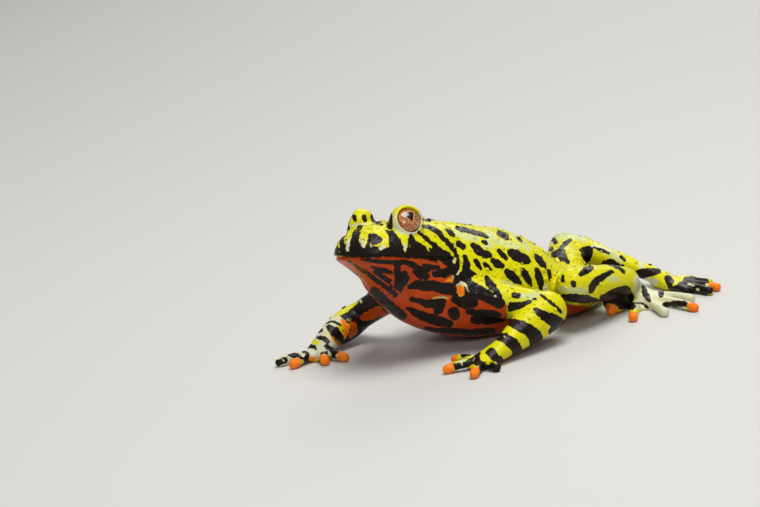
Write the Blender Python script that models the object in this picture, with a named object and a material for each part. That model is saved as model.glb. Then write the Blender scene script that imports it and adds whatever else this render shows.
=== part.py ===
"""Oriental fire-bellied toad, life size, as a still model: propped on its fore legs with its head raised.

The toad faces -Y, its left side is +X and up is +Z. Sizes below are in millimetres, and MM turns them to
metres where a mesh is made. The body is lofted whole from the sizes, rounded where its pieces join, set
flat on the floor at z = 0, and then parted by thin cuts into head, torso, legs and eyes.
"""

import math

import bmesh
import bpy
from mathutils import Matrix, Vector
from mathutils.bvhtree import BVHTree

MM = 0.001
GAP = 0.3  # clearance between neighbouring solids
FLOOR_SINK = 0.12  # how far soft undersides are pressed flat on the floor

# Head: its own frame starts midway between the corners of the mouth, in the plane of the mouth line
HEAD_ORIGIN = Vector((-1.3, 4.1, 14.7))
HEAD_YAW = math.radians(8.0)
HEAD_PITCH = math.radians(16.5)
HEAD_ROLL = math.radians(4.0)  # its right side lower
SNOUT_LENGTH = 13.2
JAW_HALF_WIDTH = 8.4
LIP_STEP = 0.3  # how far the upper lip stands out over the lower
MOUTH_GROOVE = 0.3
MOUTH_CORNER = -0.4  # where the mouth line ends, along the head from its origin
NOSTRIL_FORWARD, NOSTRIL_SIDE, NOSTRIL_UP, NOSTRIL_RADIUS = 12.2, 1.7, 2.6, 0.4

# Head sections along the head: forward, half width, height over the mouth, depth under it
HEAD_SECTIONS = (
    (13.2, 1.2, 0.8, 0.3),
    (12.9, 2.5, 1.8, 0.6),
    (12.2, 3.7, 2.8, 0.8),
    (11.2, 4.8, 3.6, 1.1),
    (9.6, 5.9, 4.3, 1.6),
    (7.6, 6.8, 5.0, 2.5),
    (5.2, 7.5, 5.6, 3.9),
    (2.6, 8.1, 5.9, 5.9),
    (0.0, 8.4, 6.2, 7.8),
    (-3.0, 8.5, 6.3, 8.6),
)

# Eyes: centre in the head's frame, ball, lids and the way they look
EYE_SIDE, EYE_FORWARD, EYE_UP = 4.6, 5.4, 5.35
EYE_DROP_RIGHT = 0.4  # the right eye is drawn in a little further
EYE_RADIUS, EYE_HALF_DEPTH = 2.05, 1.65
LID_RADIUS, LID_HALF_DEPTH, LID_OFFSET = 2.75, 2.05, 0.05
LID_RIM_RADIUS, LID_RIM_THICKNESS, LID_RIM_FORWARD = 2.15, 0.36, 0.9
LID_RIM_RAISE = 0.12  # the upper lid stands a little further out than the lower
GAZE = Vector((0.85, 0.42, 0.32)).normalized()  # outward, forward, up

# Torso sections down the back: y, middle x, half width, top, bottom and fullness of the belly, which is 1
# where it is round and less where it spreads on the floor
TORSO_SECTIONS = (
    (-1.0, -0.8, 6.0, 19.6, 9.0, 1.0),
    (3.0, -0.8, 7.8, 20.1, 4.7, 1.0),
    (7.0, -0.4, 8.7, 20.1, 2.3, 0.95),
    (11.0, -0.1, 9.5, 19.1, 0.7, 0.9),
    (15.0, 0.0, 10.3, 17.7, -0.1, 0.85),
    (19.0, 0.0, 10.6, 16.3, -0.12, 0.8),
    (23.0, 0.2, 10.3, 14.7, -0.12, 0.7),
    (27.0, 1.0, 9.5, 12.2, -0.12, 0.6),
    (31.0, 2.4, 8.2, 8.2, -0.12, 0.55),
    (34.5, 3.8, 6.1, 6.3, 0.0, 0.6),
    (37.5, 5.0, 3.6, 5.1, 1.0, 0.8),
    (39.0, 5.6, 1.5, 4.2, 2.2, 1.0),
)
WIDEST_HEIGHT = 0.42  # height of the widest line, as a share of the section's height
CROWN_FULLNESS = 0.86  # of the head's upper half, flat between the eyes and steep down the cheeks

# Fore legs: joints and radii
SHOULDER_LEFT = Vector((7.0, 8.3, 9.2))
ELBOW_LEFT = Vector((15.5, 16.3, 5.1))
WRIST_LEFT = Vector((16.1, 5.8, 2.1))
PALM_LEFT = Vector((15.3, 2.2, 1.1))
FINGER_TIPS_LEFT = (
    Vector((9.6, 2.0, 0.0)),
    Vector((12.3, -2.3, 0.0)),
    Vector((18.2, -2.3, 0.0)),
    Vector((18.8, 1.7, 0.0)),
)
SHOULDER_RIGHT = Vector((-6.6, 6.6, 8.6))
ELBOW_RIGHT = Vector((-16.0, 5.3, 3.6))
WRIST_RIGHT = Vector((-14.9, -1.9, 2.3))
PALM_RIGHT = Vector((-13.6, -5.5, 1.1))
FINGER_TIPS_RIGHT = (
    Vector((-8.3, -4.7, 0.0)),
    Vector((-9.8, -7.4, 0.0)),
    Vector((-13.2, -10.9, 0.0)),
    Vector((-16.4, -11.0, 0.0)),
)
UPPER_ARM_RADII_LEFT = (3.0, 2.7, 2.8)
FOREARM_RADII_LEFT = (3.1, 2.9, 2.2, 1.6)
UPPER_ARM_RADII_RIGHT = (2.8, 2.3, 2.2)
FOREARM_RADII_RIGHT = (2.3, 2.5, 2.3, 1.9)
PALM_HALF_WIDTH, PALM_HALF_HEIGHT = 2.2, 1.1
FINGER_RADIUS, FINGER_TIP_RADIUS = 0.72, 0.8

# Hind legs: joints and radii
HIP_LEFT = Vector((7.0, 31.6, 3.6))
KNEE_LEFT = Vector((15.2, 22.7, 7.4))
ANKLE_LEFT = Vector((13.2, 35.6, 4.4))
FOOT_LEFT = Vector((11.2, 40.0, 1.6))
TOE_TIPS_LEFT = (
    Vector((13.6, 31.4, 0.0)),
    Vector((19.5, 30.3, 0.0)),
    Vector((22.3, 34.4, 0.0)),
    Vector((24.9, 38.4, 0.0)),
    Vector((20.6, 42.2, 0.0)),
)
HIP_RIGHT = Vector((1.0, 34.6, 4.5))
KNEE_RIGHT = Vector((-9.6, 44.9, 5.5))
ANKLE_RIGHT = Vector((2.4, 44.6, 4.4))
FOOT_RIGHT = Vector((8.6, 46.8, 2.0))
TOE_TIPS_RIGHT = (
    Vector((13.4, 50.6, 0.0)),
    Vector((17.0, 50.3, 0.0)),
    Vector((20.0, 48.8, 0.0)),
    Vector((20.4, 46.6, 0.0)),
    Vector((17.0, 45.0, 0.0)),
)
THIGH_RADII_LEFT = (3.3, 3.2, 3.0, 2.8)
SHANK_RADII_LEFT = (2.7, 2.9, 2.8, 2.3)
TARSUS_RADII_LEFT = (2.2, 1.6, 1.3)
THIGH_RADII_RIGHT = (3.3, 3.2, 2.7, 2.3)
SHANK_RADII_RIGHT = (2.2, 2.4, 1.9, 1.6)
TARSUS_RADII_RIGHT = (1.7, 1.35, 1.3)
FOOT_HALF_WIDTH, FOOT_HALF_HEIGHT = 1.9, 1.0
HEEL_PAD_LEFT, HEEL_PAD_RADIUS = Vector((13.0, 33.2, 1.9)), 2.0
TOE_RADIUS, TOE_TIP_RADIUS = 0.7, 0.78
WEB_THICKNESS = 0.6
WEB_REACH = 0.7  # share of each toe that the web runs along
WEB_DIP = 0.34  # how far the web's edge dips back between two toes

# Mesh sizes
RING_POINTS = 32
LIMB_POINTS = 16
STEPS_PER_SPAN = 4
VOXEL = 0.3
ROUNDING_PASSES = 5
BODY_TRIANGLES = 8900
FLOOR_BOX = 200.0

UP = Vector((0.0, 0.0, 1.0))


def clear_scene():
    """Remove every object of the scene."""
    for obj in list(bpy.data.objects):
        bpy.data.objects.remove(obj)


def head_axes():
    """Unit vectors of the head: to its left, forward and up."""
    left = Vector((math.cos(HEAD_YAW), math.sin(HEAD_YAW), 0.0))
    level = Vector((math.sin(HEAD_YAW), -math.cos(HEAD_YAW), 0.0))
    forward = level * math.cos(HEAD_PITCH) + UP * math.sin(HEAD_PITCH)
    left = left * math.cos(HEAD_ROLL) + forward.cross(left) * math.sin(HEAD_ROLL)
    return left, forward, forward.cross(left)


def head_point(side, forward, up):
    """A place of the head's own frame as a place of the model."""
    left, ahead, over = head_axes()
    return HEAD_ORIGIN + left * side + ahead * forward + over * up


def between(values, position):
    """Smooth value at a position between evenly numbered values, by Catmull and Rom's curve."""
    last = len(values) - 1
    index = min(int(position), last - 1)
    share = position - index
    before = values[max(index - 1, 0)]
    start = values[index]
    end = values[index + 1]
    after = values[min(index + 2, last)]
    slope_in = (end - before) * 0.5
    slope_out = (after - start) * 0.5
    square = share * share
    cube = square * share
    return (
        start * (2 * cube - 3 * square + 1)
        + slope_in * (cube - 2 * square + share)
        + end * (3 * square - 2 * cube)
        + slope_out * (cube - square)
    )


def positions(count, steps):
    """Positions along a row of count values, with this many steps a span."""
    total = (count - 1) * steps
    return [index / steps for index in range(total + 1)]


def object_from(name, mesh_data):
    """A new object in the scene from a bmesh in millimetres."""
    bmesh.ops.scale(mesh_data, vec=(MM, MM, MM), verts=mesh_data.verts)
    bmesh.ops.recalc_face_normals(mesh_data, faces=mesh_data.faces)
    mesh = bpy.data.meshes.new(name)
    mesh_data.to_mesh(mesh)
    mesh_data.free()
    obj = bpy.data.objects.new(name, mesh)
    bpy.context.scene.collection.objects.link(obj)
    return obj


def skin_rings(name, rings, start_pole, end_pole):
    """A closed body through rings of points, with a pole at each end."""
    mesh_data = bmesh.new()
    layers = [[mesh_data.verts.new(point) for point in ring] for ring in rings]
    count = len(rings[0])
    for first, second in zip(layers, layers[1:]):
        for index in range(count):
            beside = (index + 1) % count
            mesh_data.faces.new((first[index], first[beside], second[beside], second[index]))
    for layer, pole in ((layers[0], start_pole), (layers[-1], end_pole)):
        tip = mesh_data.verts.new(pole)
        for index in range(count):
            mesh_data.faces.new((layer[index], layer[(index + 1) % count], tip))
    return object_from(name, mesh_data)


def section_ring(centre, side_axis, up_axis, half_width, height, depth, step=0.0, crown=1.0, belly=1.0):
    """One section of head or torso. The lower half is narrower by the lip's step, and a fullness under 1
    makes the crown or the belly squarer."""
    ring = []
    for index in range(RING_POINTS):
        angle = math.tau * index / RING_POINTS
        across, rise = math.cos(angle), math.sin(angle)
        lower = rise < -0.01
        fullness = belly if lower else crown
        width = half_width - step if lower else half_width
        across = math.copysign(width * abs(across) ** fullness, across)
        rise = math.copysign((depth if lower else height) * abs(rise) ** fullness, rise)
        ring.append(centre + side_axis * across + up_axis * rise)
    return ring


def make_head():
    """The head from snout to neck, its two halves meeting along the mouth line."""
    left, forward, over = head_axes()
    rings = []
    for position in positions(len(HEAD_SECTIONS), 2):
        ahead, half_width, height, depth = (
            between([section[column] for section in HEAD_SECTIONS], position) for column in range(4)
        )
        step = LIP_STEP * min(max(ahead, 0.0) / 3.0, 1.0) * min(half_width / 4.0, 1.0)
        rings.append(section_ring(head_point(0, ahead, 0), left, over, half_width, height, depth, step,
                                  CROWN_FULLNESS))
    tip = head_point(0, SNOUT_LENGTH + 0.15, 0.2)
    neck = head_point(0, HEAD_SECTIONS[-1][0] - 0.5, 0)
    return skin_rings("head_form", rings, tip, neck)


def make_torso():
    """The torso from inside the neck to the vent."""
    rings = []
    columns = list(zip(*TORSO_SECTIONS))
    for position in positions(len(TORSO_SECTIONS), 2):
        back, middle, half_width, top, bottom, belly = (between(column, position) for column in columns)
        ahead = between(columns[1], max(position - 0.5, 0)) - between(columns[1], position)
        run = between(columns[0], position) - between(columns[0], max(position - 0.5, 0))
        lean = math.atan2(-ahead, run) if run else 0.0
        side_axis = Vector((math.cos(lean), -math.sin(lean), 0.0))
        widest = bottom + (top - bottom) * WIDEST_HEIGHT
        centre = Vector((middle, back, widest))
        rings.append(section_ring(centre, side_axis, UP, half_width, top - widest, widest - bottom,
                                  belly=belly))
    y, x, _, top, bottom, _ = TORSO_SECTIONS[0]
    start = Vector((x, y - 0.5, (top + bottom) / 2))
    y, x, _, top, bottom, _ = TORSO_SECTIONS[-1]
    return skin_rings("torso_form", rings, start, Vector((x, y + 0.4, (top + bottom) / 2)))


def tube(name, points, widths, heights=None):
    """A limb along a smooth path with rounded ends. Widths lie level and heights stand across the path."""
    heights = heights or widths
    path = []
    for position in positions(len(points), STEPS_PER_SPAN):
        share = position / (len(points) - 1)
        width = between(widths, share * (len(widths) - 1))
        height = between(heights, share * (len(heights) - 1))
        path.append((between(points, position), width, height))
    tangents = []
    for index in range(len(path)):
        before = path[max(index - 1, 0)][0]
        after = path[min(index + 1, len(path) - 1)][0]
        tangents.append((after - before).normalized())
    cap_angles = [math.radians(angle) for angle in (65, 35)]
    stations = []
    for angle in cap_angles:
        centre, width, height = path[0]
        stations.append((centre - tangents[0] * (width * math.sin(angle)), tangents[0],
                         width * math.cos(angle), height * math.cos(angle)))
    for (centre, width, height), tangent in zip(path, tangents):
        stations.append((centre, tangent, width, height))
    for angle in reversed(cap_angles):
        centre, width, height = path[-1]
        stations.append((centre + tangents[-1] * (width * math.sin(angle)), tangents[-1],
                         width * math.cos(angle), height * math.cos(angle)))
    rings = []
    for centre, tangent, width, height in stations:
        side_axis = tangent.cross(UP).normalized()
        up_axis = side_axis.cross(tangent).normalized()
        ring = []
        for index in range(LIMB_POINTS):
            angle = math.tau * index / LIMB_POINTS
            ring.append(centre + side_axis * (width * math.cos(angle)) + up_axis * (height * math.sin(angle)))
        rings.append(ring)
    start = path[0][0] - tangents[0] * path[0][1]
    end = path[-1][0] + tangents[-1] * path[-1][1]
    return skin_rings(name, rings, start, end)


def ball(name, centre, radius, segments=24):
    """A plain ball."""
    mesh_data = bmesh.new()
    bmesh.ops.create_uvsphere(mesh_data, u_segments=segments, v_segments=segments // 2, radius=radius)
    bmesh.ops.translate(mesh_data, vec=centre, verts=mesh_data.verts)
    return object_from(name, mesh_data)


def lens(name, centre, way, radius, half_depth, segments=24):
    """A ball flattened along a way."""
    mesh_data = bmesh.new()
    bmesh.ops.create_uvsphere(mesh_data, u_segments=segments, v_segments=segments // 2, radius=radius)
    turn = way.to_track_quat("Z", "Y").to_matrix().to_4x4()
    squash = Matrix.Diagonal((1.0, 1.0, half_depth / radius, 1.0))
    place = Matrix.Translation(centre) @ turn @ squash
    bmesh.ops.transform(mesh_data, matrix=place, verts=mesh_data.verts)
    return object_from(name, mesh_data)


def lid_rim(side):
    """The fleshy rim of an eye's lids, a ring round the way the eye looks."""
    over = head_axes()[2]
    gaze = gaze_of(side)
    centre = eye_centre(side) + gaze * LID_RIM_FORWARD + over * LID_RIM_RAISE
    level = gaze.cross(UP).normalized()
    upright = level.cross(gaze)
    mesh_data = bmesh.new()
    layers = []
    for step in range(LIMB_POINTS * 2):
        turn = math.tau * step / (LIMB_POINTS * 2)
        outward = level * math.cos(turn) + upright * math.sin(turn)
        layer = []
        for index in range(LIMB_POINTS // 2):
            angle = math.tau * index / (LIMB_POINTS // 2)
            reach = LID_RIM_RADIUS + LID_RIM_THICKNESS * math.cos(angle)
            rise = LID_RIM_THICKNESS * math.sin(angle)
            layer.append(mesh_data.verts.new(centre + outward * reach + gaze * rise))
        layers.append(layer)
    for first, second in zip(layers, layers[1:] + layers[:1]):
        for index in range(len(first)):
            beside = (index + 1) % len(first)
            mesh_data.faces.new((first[index], first[beside], second[beside], second[index]))
    return object_from("lid_rim_form", mesh_data)


def make_arm(side, joints, tips, upper_arm_radii, forearm_radii):
    """Upper arm, forearm, palm and four fingers of one fore leg."""
    shoulder, elbow, wrist, palm = joints
    pieces = [
        tube(f"upper_arm_form_{side}", (shoulder, (shoulder + elbow) / 2, elbow), upper_arm_radii),
        tube(f"forearm_form_{side}", (elbow, elbow.lerp(wrist, 0.35), elbow.lerp(wrist, 0.7), wrist),
             forearm_radii),
        tube(f"palm_form_{side}", (wrist, palm), (forearm_radii[-1], PALM_HALF_WIDTH),
             (forearm_radii[-1], PALM_HALF_HEIGHT)),
    ]
    for number, tip in enumerate(tips):
        rest = Vector((tip.x, tip.y, FINGER_TIP_RADIUS - FLOOR_SINK))
        knuckle = palm.lerp(rest, 0.25)
        middle = palm.lerp(rest, 0.62) + UP * 0.25
        pieces.append(tube(f"finger_form_{side}_{number}", (palm, knuckle, middle, rest),
                           (FINGER_RADIUS + 0.2, FINGER_RADIUS + 0.1, FINGER_RADIUS, FINGER_TIP_RADIUS)))
    return pieces


def web(name, foot, first, second):
    """The thin web between two toes, its free edge dipping back."""
    rim = [foot.lerp(first, share) for share in (0.0, WEB_REACH * 0.5, WEB_REACH)]
    ends = (foot.lerp(first, WEB_REACH), foot.lerp(second, WEB_REACH))
    for share in (0.25, 0.5, 0.75):
        dip = WEB_DIP * math.sin(math.pi * share)
        rim.append(ends[0].lerp(ends[1], share).lerp(foot, dip * 0.6))
    rim += [foot.lerp(second, share) for share in (WEB_REACH, WEB_REACH * 0.5)]
    mesh_data = bmesh.new()
    low = [mesh_data.verts.new((point.x, point.y, -FLOOR_SINK)) for point in rim]
    high = [mesh_data.verts.new((point.x, point.y, WEB_THICKNESS)) for point in rim]
    mesh_data.faces.new(reversed(low))
    mesh_data.faces.new(high)
    for index in range(len(rim)):
        beside = (index + 1) % len(rim)
        mesh_data.faces.new((low[index], low[beside], high[beside], high[index]))
    return object_from(name, mesh_data)


def make_leg(side, joints, tips, thigh_radii, shank_radii, tarsus_radii):
    """Thigh, shank, tarsus, foot and five webbed toes of one hind leg."""
    hip, knee, ankle, foot = joints
    pieces = [
        tube(f"thigh_form_{side}", (hip, hip.lerp(knee, 0.35), hip.lerp(knee, 0.7), knee), thigh_radii),
        tube(f"shank_form_{side}", (knee, knee.lerp(ankle, 0.35), knee.lerp(ankle, 0.7), ankle), shank_radii),
        tube(f"tarsus_form_{side}", (ankle, (ankle + foot) / 2, foot), tarsus_radii),
    ]
    heel = Vector((foot.x, foot.y, FOOT_HALF_HEIGHT - FLOOR_SINK))
    middle_tip = (tips[2] + tips[3]) / 2
    ball_of_foot = heel.lerp(Vector((middle_tip.x, middle_tip.y, heel.z)), 0.3)
    pieces.append(tube(f"sole_form_{side}", (foot, ball_of_foot), (tarsus_radii[-1], FOOT_HALF_WIDTH),
                       (tarsus_radii[-1], FOOT_HALF_HEIGHT)))
    for number, tip in enumerate(tips):
        rest = Vector((tip.x, tip.y, TOE_TIP_RADIUS - FLOOR_SINK))
        middle = heel.lerp(rest, 0.6) + UP * 0.2
        pieces.append(tube(f"toe_form_{side}_{number}", (heel, heel.lerp(rest, 0.25), middle, rest),
                           (TOE_RADIUS + 0.2, TOE_RADIUS + 0.1, TOE_RADIUS, TOE_TIP_RADIUS)))
    for number, (first, second) in enumerate(zip(tips, tips[1:])):
        pieces.append(web(f"web_form_{side}_{number}", heel, first, second))
    return pieces


def gaze_of(side):
    """The way an eye looks, as a unit vector of the model."""
    left, forward, over = head_axes()
    return (left * GAZE.x * side + forward * GAZE.y + over * GAZE.z).normalized()


def eye_centre(side):
    """The centre of an eye, side +1 for the left."""
    drop = EYE_DROP_RIGHT if side < 0 else 0.0
    return head_point(EYE_SIDE * side, EYE_FORWARD, EYE_UP - drop)


def modified(obj):
    """Turn an object's modifiers into its mesh."""
    graph = bpy.context.evaluated_depsgraph_get()
    mesh = bpy.data.meshes.new_from_object(obj.evaluated_get(graph))
    obj.modifiers.clear()
    obj.data = mesh


def boolean(obj, others, operation, solver="EXACT"):
    """Join or cut an object with several others through one Boolean, and remove the others."""
    collection = bpy.data.collections.new("operands")
    bpy.context.scene.collection.children.link(collection)
    for other in others:
        collection.objects.link(other)
    modifier = obj.modifiers.new("boolean", "BOOLEAN")
    modifier.operation = operation
    modifier.operand_type = "COLLECTION"
    modifier.collection = collection
    modifier.solver = solver
    modified(obj)
    for other in others:
        bpy.data.objects.remove(other)
    bpy.data.collections.remove(collection)


def set_in_one_skin(body):
    """Give the joined pieces one even skin, rounded where limbs meet the body."""
    remesh = body.modifiers.new("even_skin", "REMESH")
    remesh.mode = "VOXEL"
    remesh.voxel_size = VOXEL * MM
    smooth = body.modifiers.new("rounding", "SMOOTH")
    smooth.factor = 0.5
    smooth.iterations = ROUNDING_PASSES
    modified(body)
    fewer = body.modifiers.new("fewer_faces", "DECIMATE")
    fewer.ratio = BODY_TRIANGLES / (2 * len(body.data.polygons))
    modified(body)


def floor_box():
    """Everything below the floor."""
    mesh_data = bmesh.new()
    bmesh.ops.create_cube(mesh_data, size=FLOOR_BOX)
    bmesh.ops.translate(mesh_data, vec=(0, 0, -FLOOR_BOX / 2), verts=mesh_data.verts)
    return object_from("below_floor", mesh_data)


def mouth_cutter(body):
    """A thin round cord sunk in the skin along the line of the mouth."""
    tree = BVHTree.FromPolygons(
        [vertex.co / MM for vertex in body.data.vertices],
        [polygon.vertices for polygon in body.data.polygons],
    )
    left, forward, over = head_axes()
    hub = head_point(0, 5.0, 0)
    reach = math.atan2(JAW_HALF_WIDTH, MOUTH_CORNER - 5.0)
    count = 40
    line = []
    for index in range(count + 1):
        angle = -reach + 2 * reach * index / count
        outward = forward * math.cos(angle) + left * math.sin(angle)
        hit = tree.ray_cast(hub + outward * 30.0, -outward)[0]
        line.append(hit)
    return tube("mouth_line", line, (MOUTH_GROOVE,) * 2)


def cut_plate(name, centre, normal, along, ahead, behind, half_height):
    """A thin plate that parts two pieces: it lies across the normal and runs ahead and behind along a line."""
    normal = normal.normalized()
    along = (along - normal * along.dot(normal)).normalized()
    across = normal.cross(along)
    mesh_data = bmesh.new()
    bmesh.ops.create_cube(mesh_data, size=1.0)
    bmesh.ops.scale(mesh_data, vec=(ahead + behind, 2 * half_height, GAP), verts=mesh_data.verts)
    bmesh.ops.translate(mesh_data, vec=((ahead - behind) / 2, 0, 0), verts=mesh_data.verts)
    turn = Matrix((along, across, normal)).transposed().to_4x4()
    bmesh.ops.transform(mesh_data, matrix=Matrix.Translation(centre) @ turn, verts=mesh_data.verts)
    return object_from(name, mesh_data)


def fold_plate(name, joint, inner, outer, ahead, behind, half_height):
    """The plate that parts the two lengths of a folded joint along the line that halves its angle."""
    first = (inner - joint).normalized()
    second = (outer - joint).normalized()
    return cut_plate(name, joint, second - first, first + second, ahead, behind, half_height)


def across_plate(name, point, before, after, half_size):
    """The plate across a limb where it passes a point."""
    normal = (after - point).normalized() + (point - before).normalized()
    return cut_plate(name, point, normal, UP.cross(normal), half_size, half_size, half_size)


def parting_plates():
    """Thin plates between head, torso and the lengths of the legs."""
    return [
        cut_plate("neck_cut", Vector((-0.5, 6.6, 14.5)), Vector((0.05, -0.7, 0.7)), UP.cross(Vector((0, 1, 0))),
                  13, 13, 13),
        cut_plate("shoulder_cut_left", Vector((10.1, 11.0, 8.0)), Vector((0.98, -0.18, 0)), Vector((0, 1, 0)),
                  7, 7, 6),
        cut_plate("shoulder_cut_right", Vector((-9.5, 5.4, 7.8)), Vector((-0.97, 0.1, -0.15)),
                  Vector((0, 1, 0)), 5, 5, 5),
        fold_plate("elbow_cut_left", ELBOW_LEFT, SHOULDER_LEFT, WRIST_LEFT, 8.0, 5.0, 5.0),
        fold_plate("elbow_cut_right", ELBOW_RIGHT, SHOULDER_RIGHT, WRIST_RIGHT, 4.5, 4.5, 4.5),
        across_plate("wrist_cut_left", WRIST_LEFT, ELBOW_LEFT, PALM_LEFT, 3.2),
        across_plate("wrist_cut_right", WRIST_RIGHT, ELBOW_RIGHT, PALM_RIGHT, 3.0),
        cut_plate("hip_cut_left", Vector((9.6, 29.0, 5.0)), Vector((0.97, 0.244, 0)), Vector((0, 1, 0)),
                  9.5, 9.0, 7),
        across_plate("hip_cut_right", HIP_RIGHT.lerp(KNEE_RIGHT, 0.32), HIP_RIGHT, KNEE_RIGHT, 5),
        fold_plate("knee_cut_left", KNEE_LEFT, HIP_LEFT, ANKLE_LEFT, 11.5, 4.5, 5),
        fold_plate("knee_cut_right", KNEE_RIGHT, HIP_RIGHT, ANKLE_RIGHT, 8.5, 4.5, 5),
        across_plate("ankle_cut_left", ANKLE_LEFT, KNEE_LEFT, FOOT_LEFT, 2.8),
        cut_plate("heel_cut_left", HEEL_PAD_LEFT + UP * 1.1, UP, Vector((0, 1, 0)), 2.8, 3.8, 3.2),
        across_plate("ankle_cut_right", ANKLE_RIGHT, KNEE_RIGHT, FOOT_RIGHT, 3.0),
    ]


def node_places():
    """A place inside each node, by its name."""
    return {
        "head": head_point(0, 5.0, 1.0),
        "torso": Vector((0.3, 19.0, 7.0)),
        "upper_arm_left": (SHOULDER_LEFT + ELBOW_LEFT) / 2,
        "forearm_left": (ELBOW_LEFT + WRIST_LEFT) / 2,
        "hand_left": PALM_LEFT,
        "upper_arm_right": SHOULDER_RIGHT.lerp(ELBOW_RIGHT, 0.6),
        "forearm_right": (ELBOW_RIGHT + WRIST_RIGHT) / 2,
        "hand_right": PALM_RIGHT,
        "thigh_left": HIP_LEFT.lerp(KNEE_LEFT, 0.6),
        "shank_left": (KNEE_LEFT + ANKLE_LEFT) / 2,
        "foot_left": FOOT_LEFT.lerp(TOE_TIPS_LEFT[2], 0.4),
        "thigh_right": HIP_RIGHT.lerp(KNEE_RIGHT, 0.6),
        "shank_right": (KNEE_RIGHT + ANKLE_RIGHT) / 2,
        "foot_right": FOOT_RIGHT.lerp(TOE_TIPS_RIGHT[2], 0.4),
    }


COLOURS = {
    "head": (0.55, 0.52, 0.03),
    "torso": (0.60, 0.57, 0.04),
    "arm": (0.66, 0.62, 0.05),
    "hand": (0.80, 0.25, 0.04),
    "leg": (0.62, 0.60, 0.05),
    "foot": (0.80, 0.27, 0.04),
    "eye": (0.20, 0.09, 0.04),
}
NODE_COLOURS = {"forearm": "arm", "upper_arm": "arm", "thigh": "leg", "shank": "leg"}
SKIN_ROUGHNESS, EYE_ROUGHNESS = 0.35, 0.08


def add_material(obj):
    """Give a node its own material."""
    kind = obj.name.removesuffix("_left").removesuffix("_right")
    kind = NODE_COLOURS.get(kind, kind)
    material = bpy.data.materials.new(obj.name)
    material.use_nodes = True
    shader = material.node_tree.nodes["Principled BSDF"]
    shader.inputs["Base Color"].default_value = (*COLOURS[kind], 1.0)
    shader.inputs["Roughness"].default_value = EYE_ROUGHNESS if kind == "eye" else SKIN_ROUGHNESS
    shader.inputs["Metallic"].default_value = 0.0
    obj.data.materials.clear()
    obj.data.materials.append(material)
    obj.data.shade_smooth()


def islands(mesh_data):
    """The separate closed surfaces of a bmesh, as lists of faces."""
    waiting = set(mesh_data.faces)
    found = []
    while waiting:
        first = waiting.pop()
        group = [first]
        edge_of_group = [first]
        while edge_of_group:
            face = edge_of_group.pop()
            for edge in face.edges:
                for beside in edge.link_faces:
                    if beside in waiting:
                        waiting.remove(beside)
                        group.append(beside)
                        edge_of_group.append(beside)
        found.append(group)
    return found


def signed_volume(faces):
    """Volume that a closed list of faces holds, in cubic millimetres."""
    total = 0.0
    for face in faces:
        corners = [vertex.co / MM for vertex in face.verts]
        for index in range(1, len(corners) - 1):
            total += corners[0].dot(corners[index].cross(corners[index + 1])) / 6.0
    return total


def part_nodes(body):
    """Split the cut body into its nodes, each the largest closed surface near its own place."""
    places = node_places()
    mesh_data = bmesh.new()
    mesh_data.from_mesh(body.data)
    largest = {}
    for faces in islands(mesh_data):
        vertices = {vertex for face in faces for vertex in face.verts}
        middle = sum((vertex.co for vertex in vertices), Vector()) / (len(vertices) * MM)
        name = min(places, key=lambda key: (places[key] - middle).length)
        volume = signed_volume(faces)
        if volume > largest.get(name, (0.0, None))[0]:
            largest[name] = (volume, faces)
    for name in places:
        if name not in largest:
            raise RuntimeError(f"{name} was not parted from its neighbour")
        kept = bmesh.new()
        copies = {}
        for face in largest[name][1]:
            corners = []
            for vertex in face.verts:
                if vertex not in copies:
                    copies[vertex] = kept.verts.new(vertex.co / MM)
                corners.append(copies[vertex])
            kept.faces.new(corners)
        add_material(object_from(name, kept))
    mesh_data.free()
    bpy.data.objects.remove(body)


def stand_on_origin():
    """Put the middle of the model's base at the origin."""
    corners = [vertex.co for obj in bpy.data.objects for vertex in obj.data.vertices]
    middle = [(min(point[axis] for point in corners) + max(point[axis] for point in corners)) / 2
              for axis in range(2)]
    shift = Matrix.Translation((-middle[0], -middle[1], 0.0))
    for obj in bpy.data.objects:
        obj.data.transform(shift)


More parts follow.
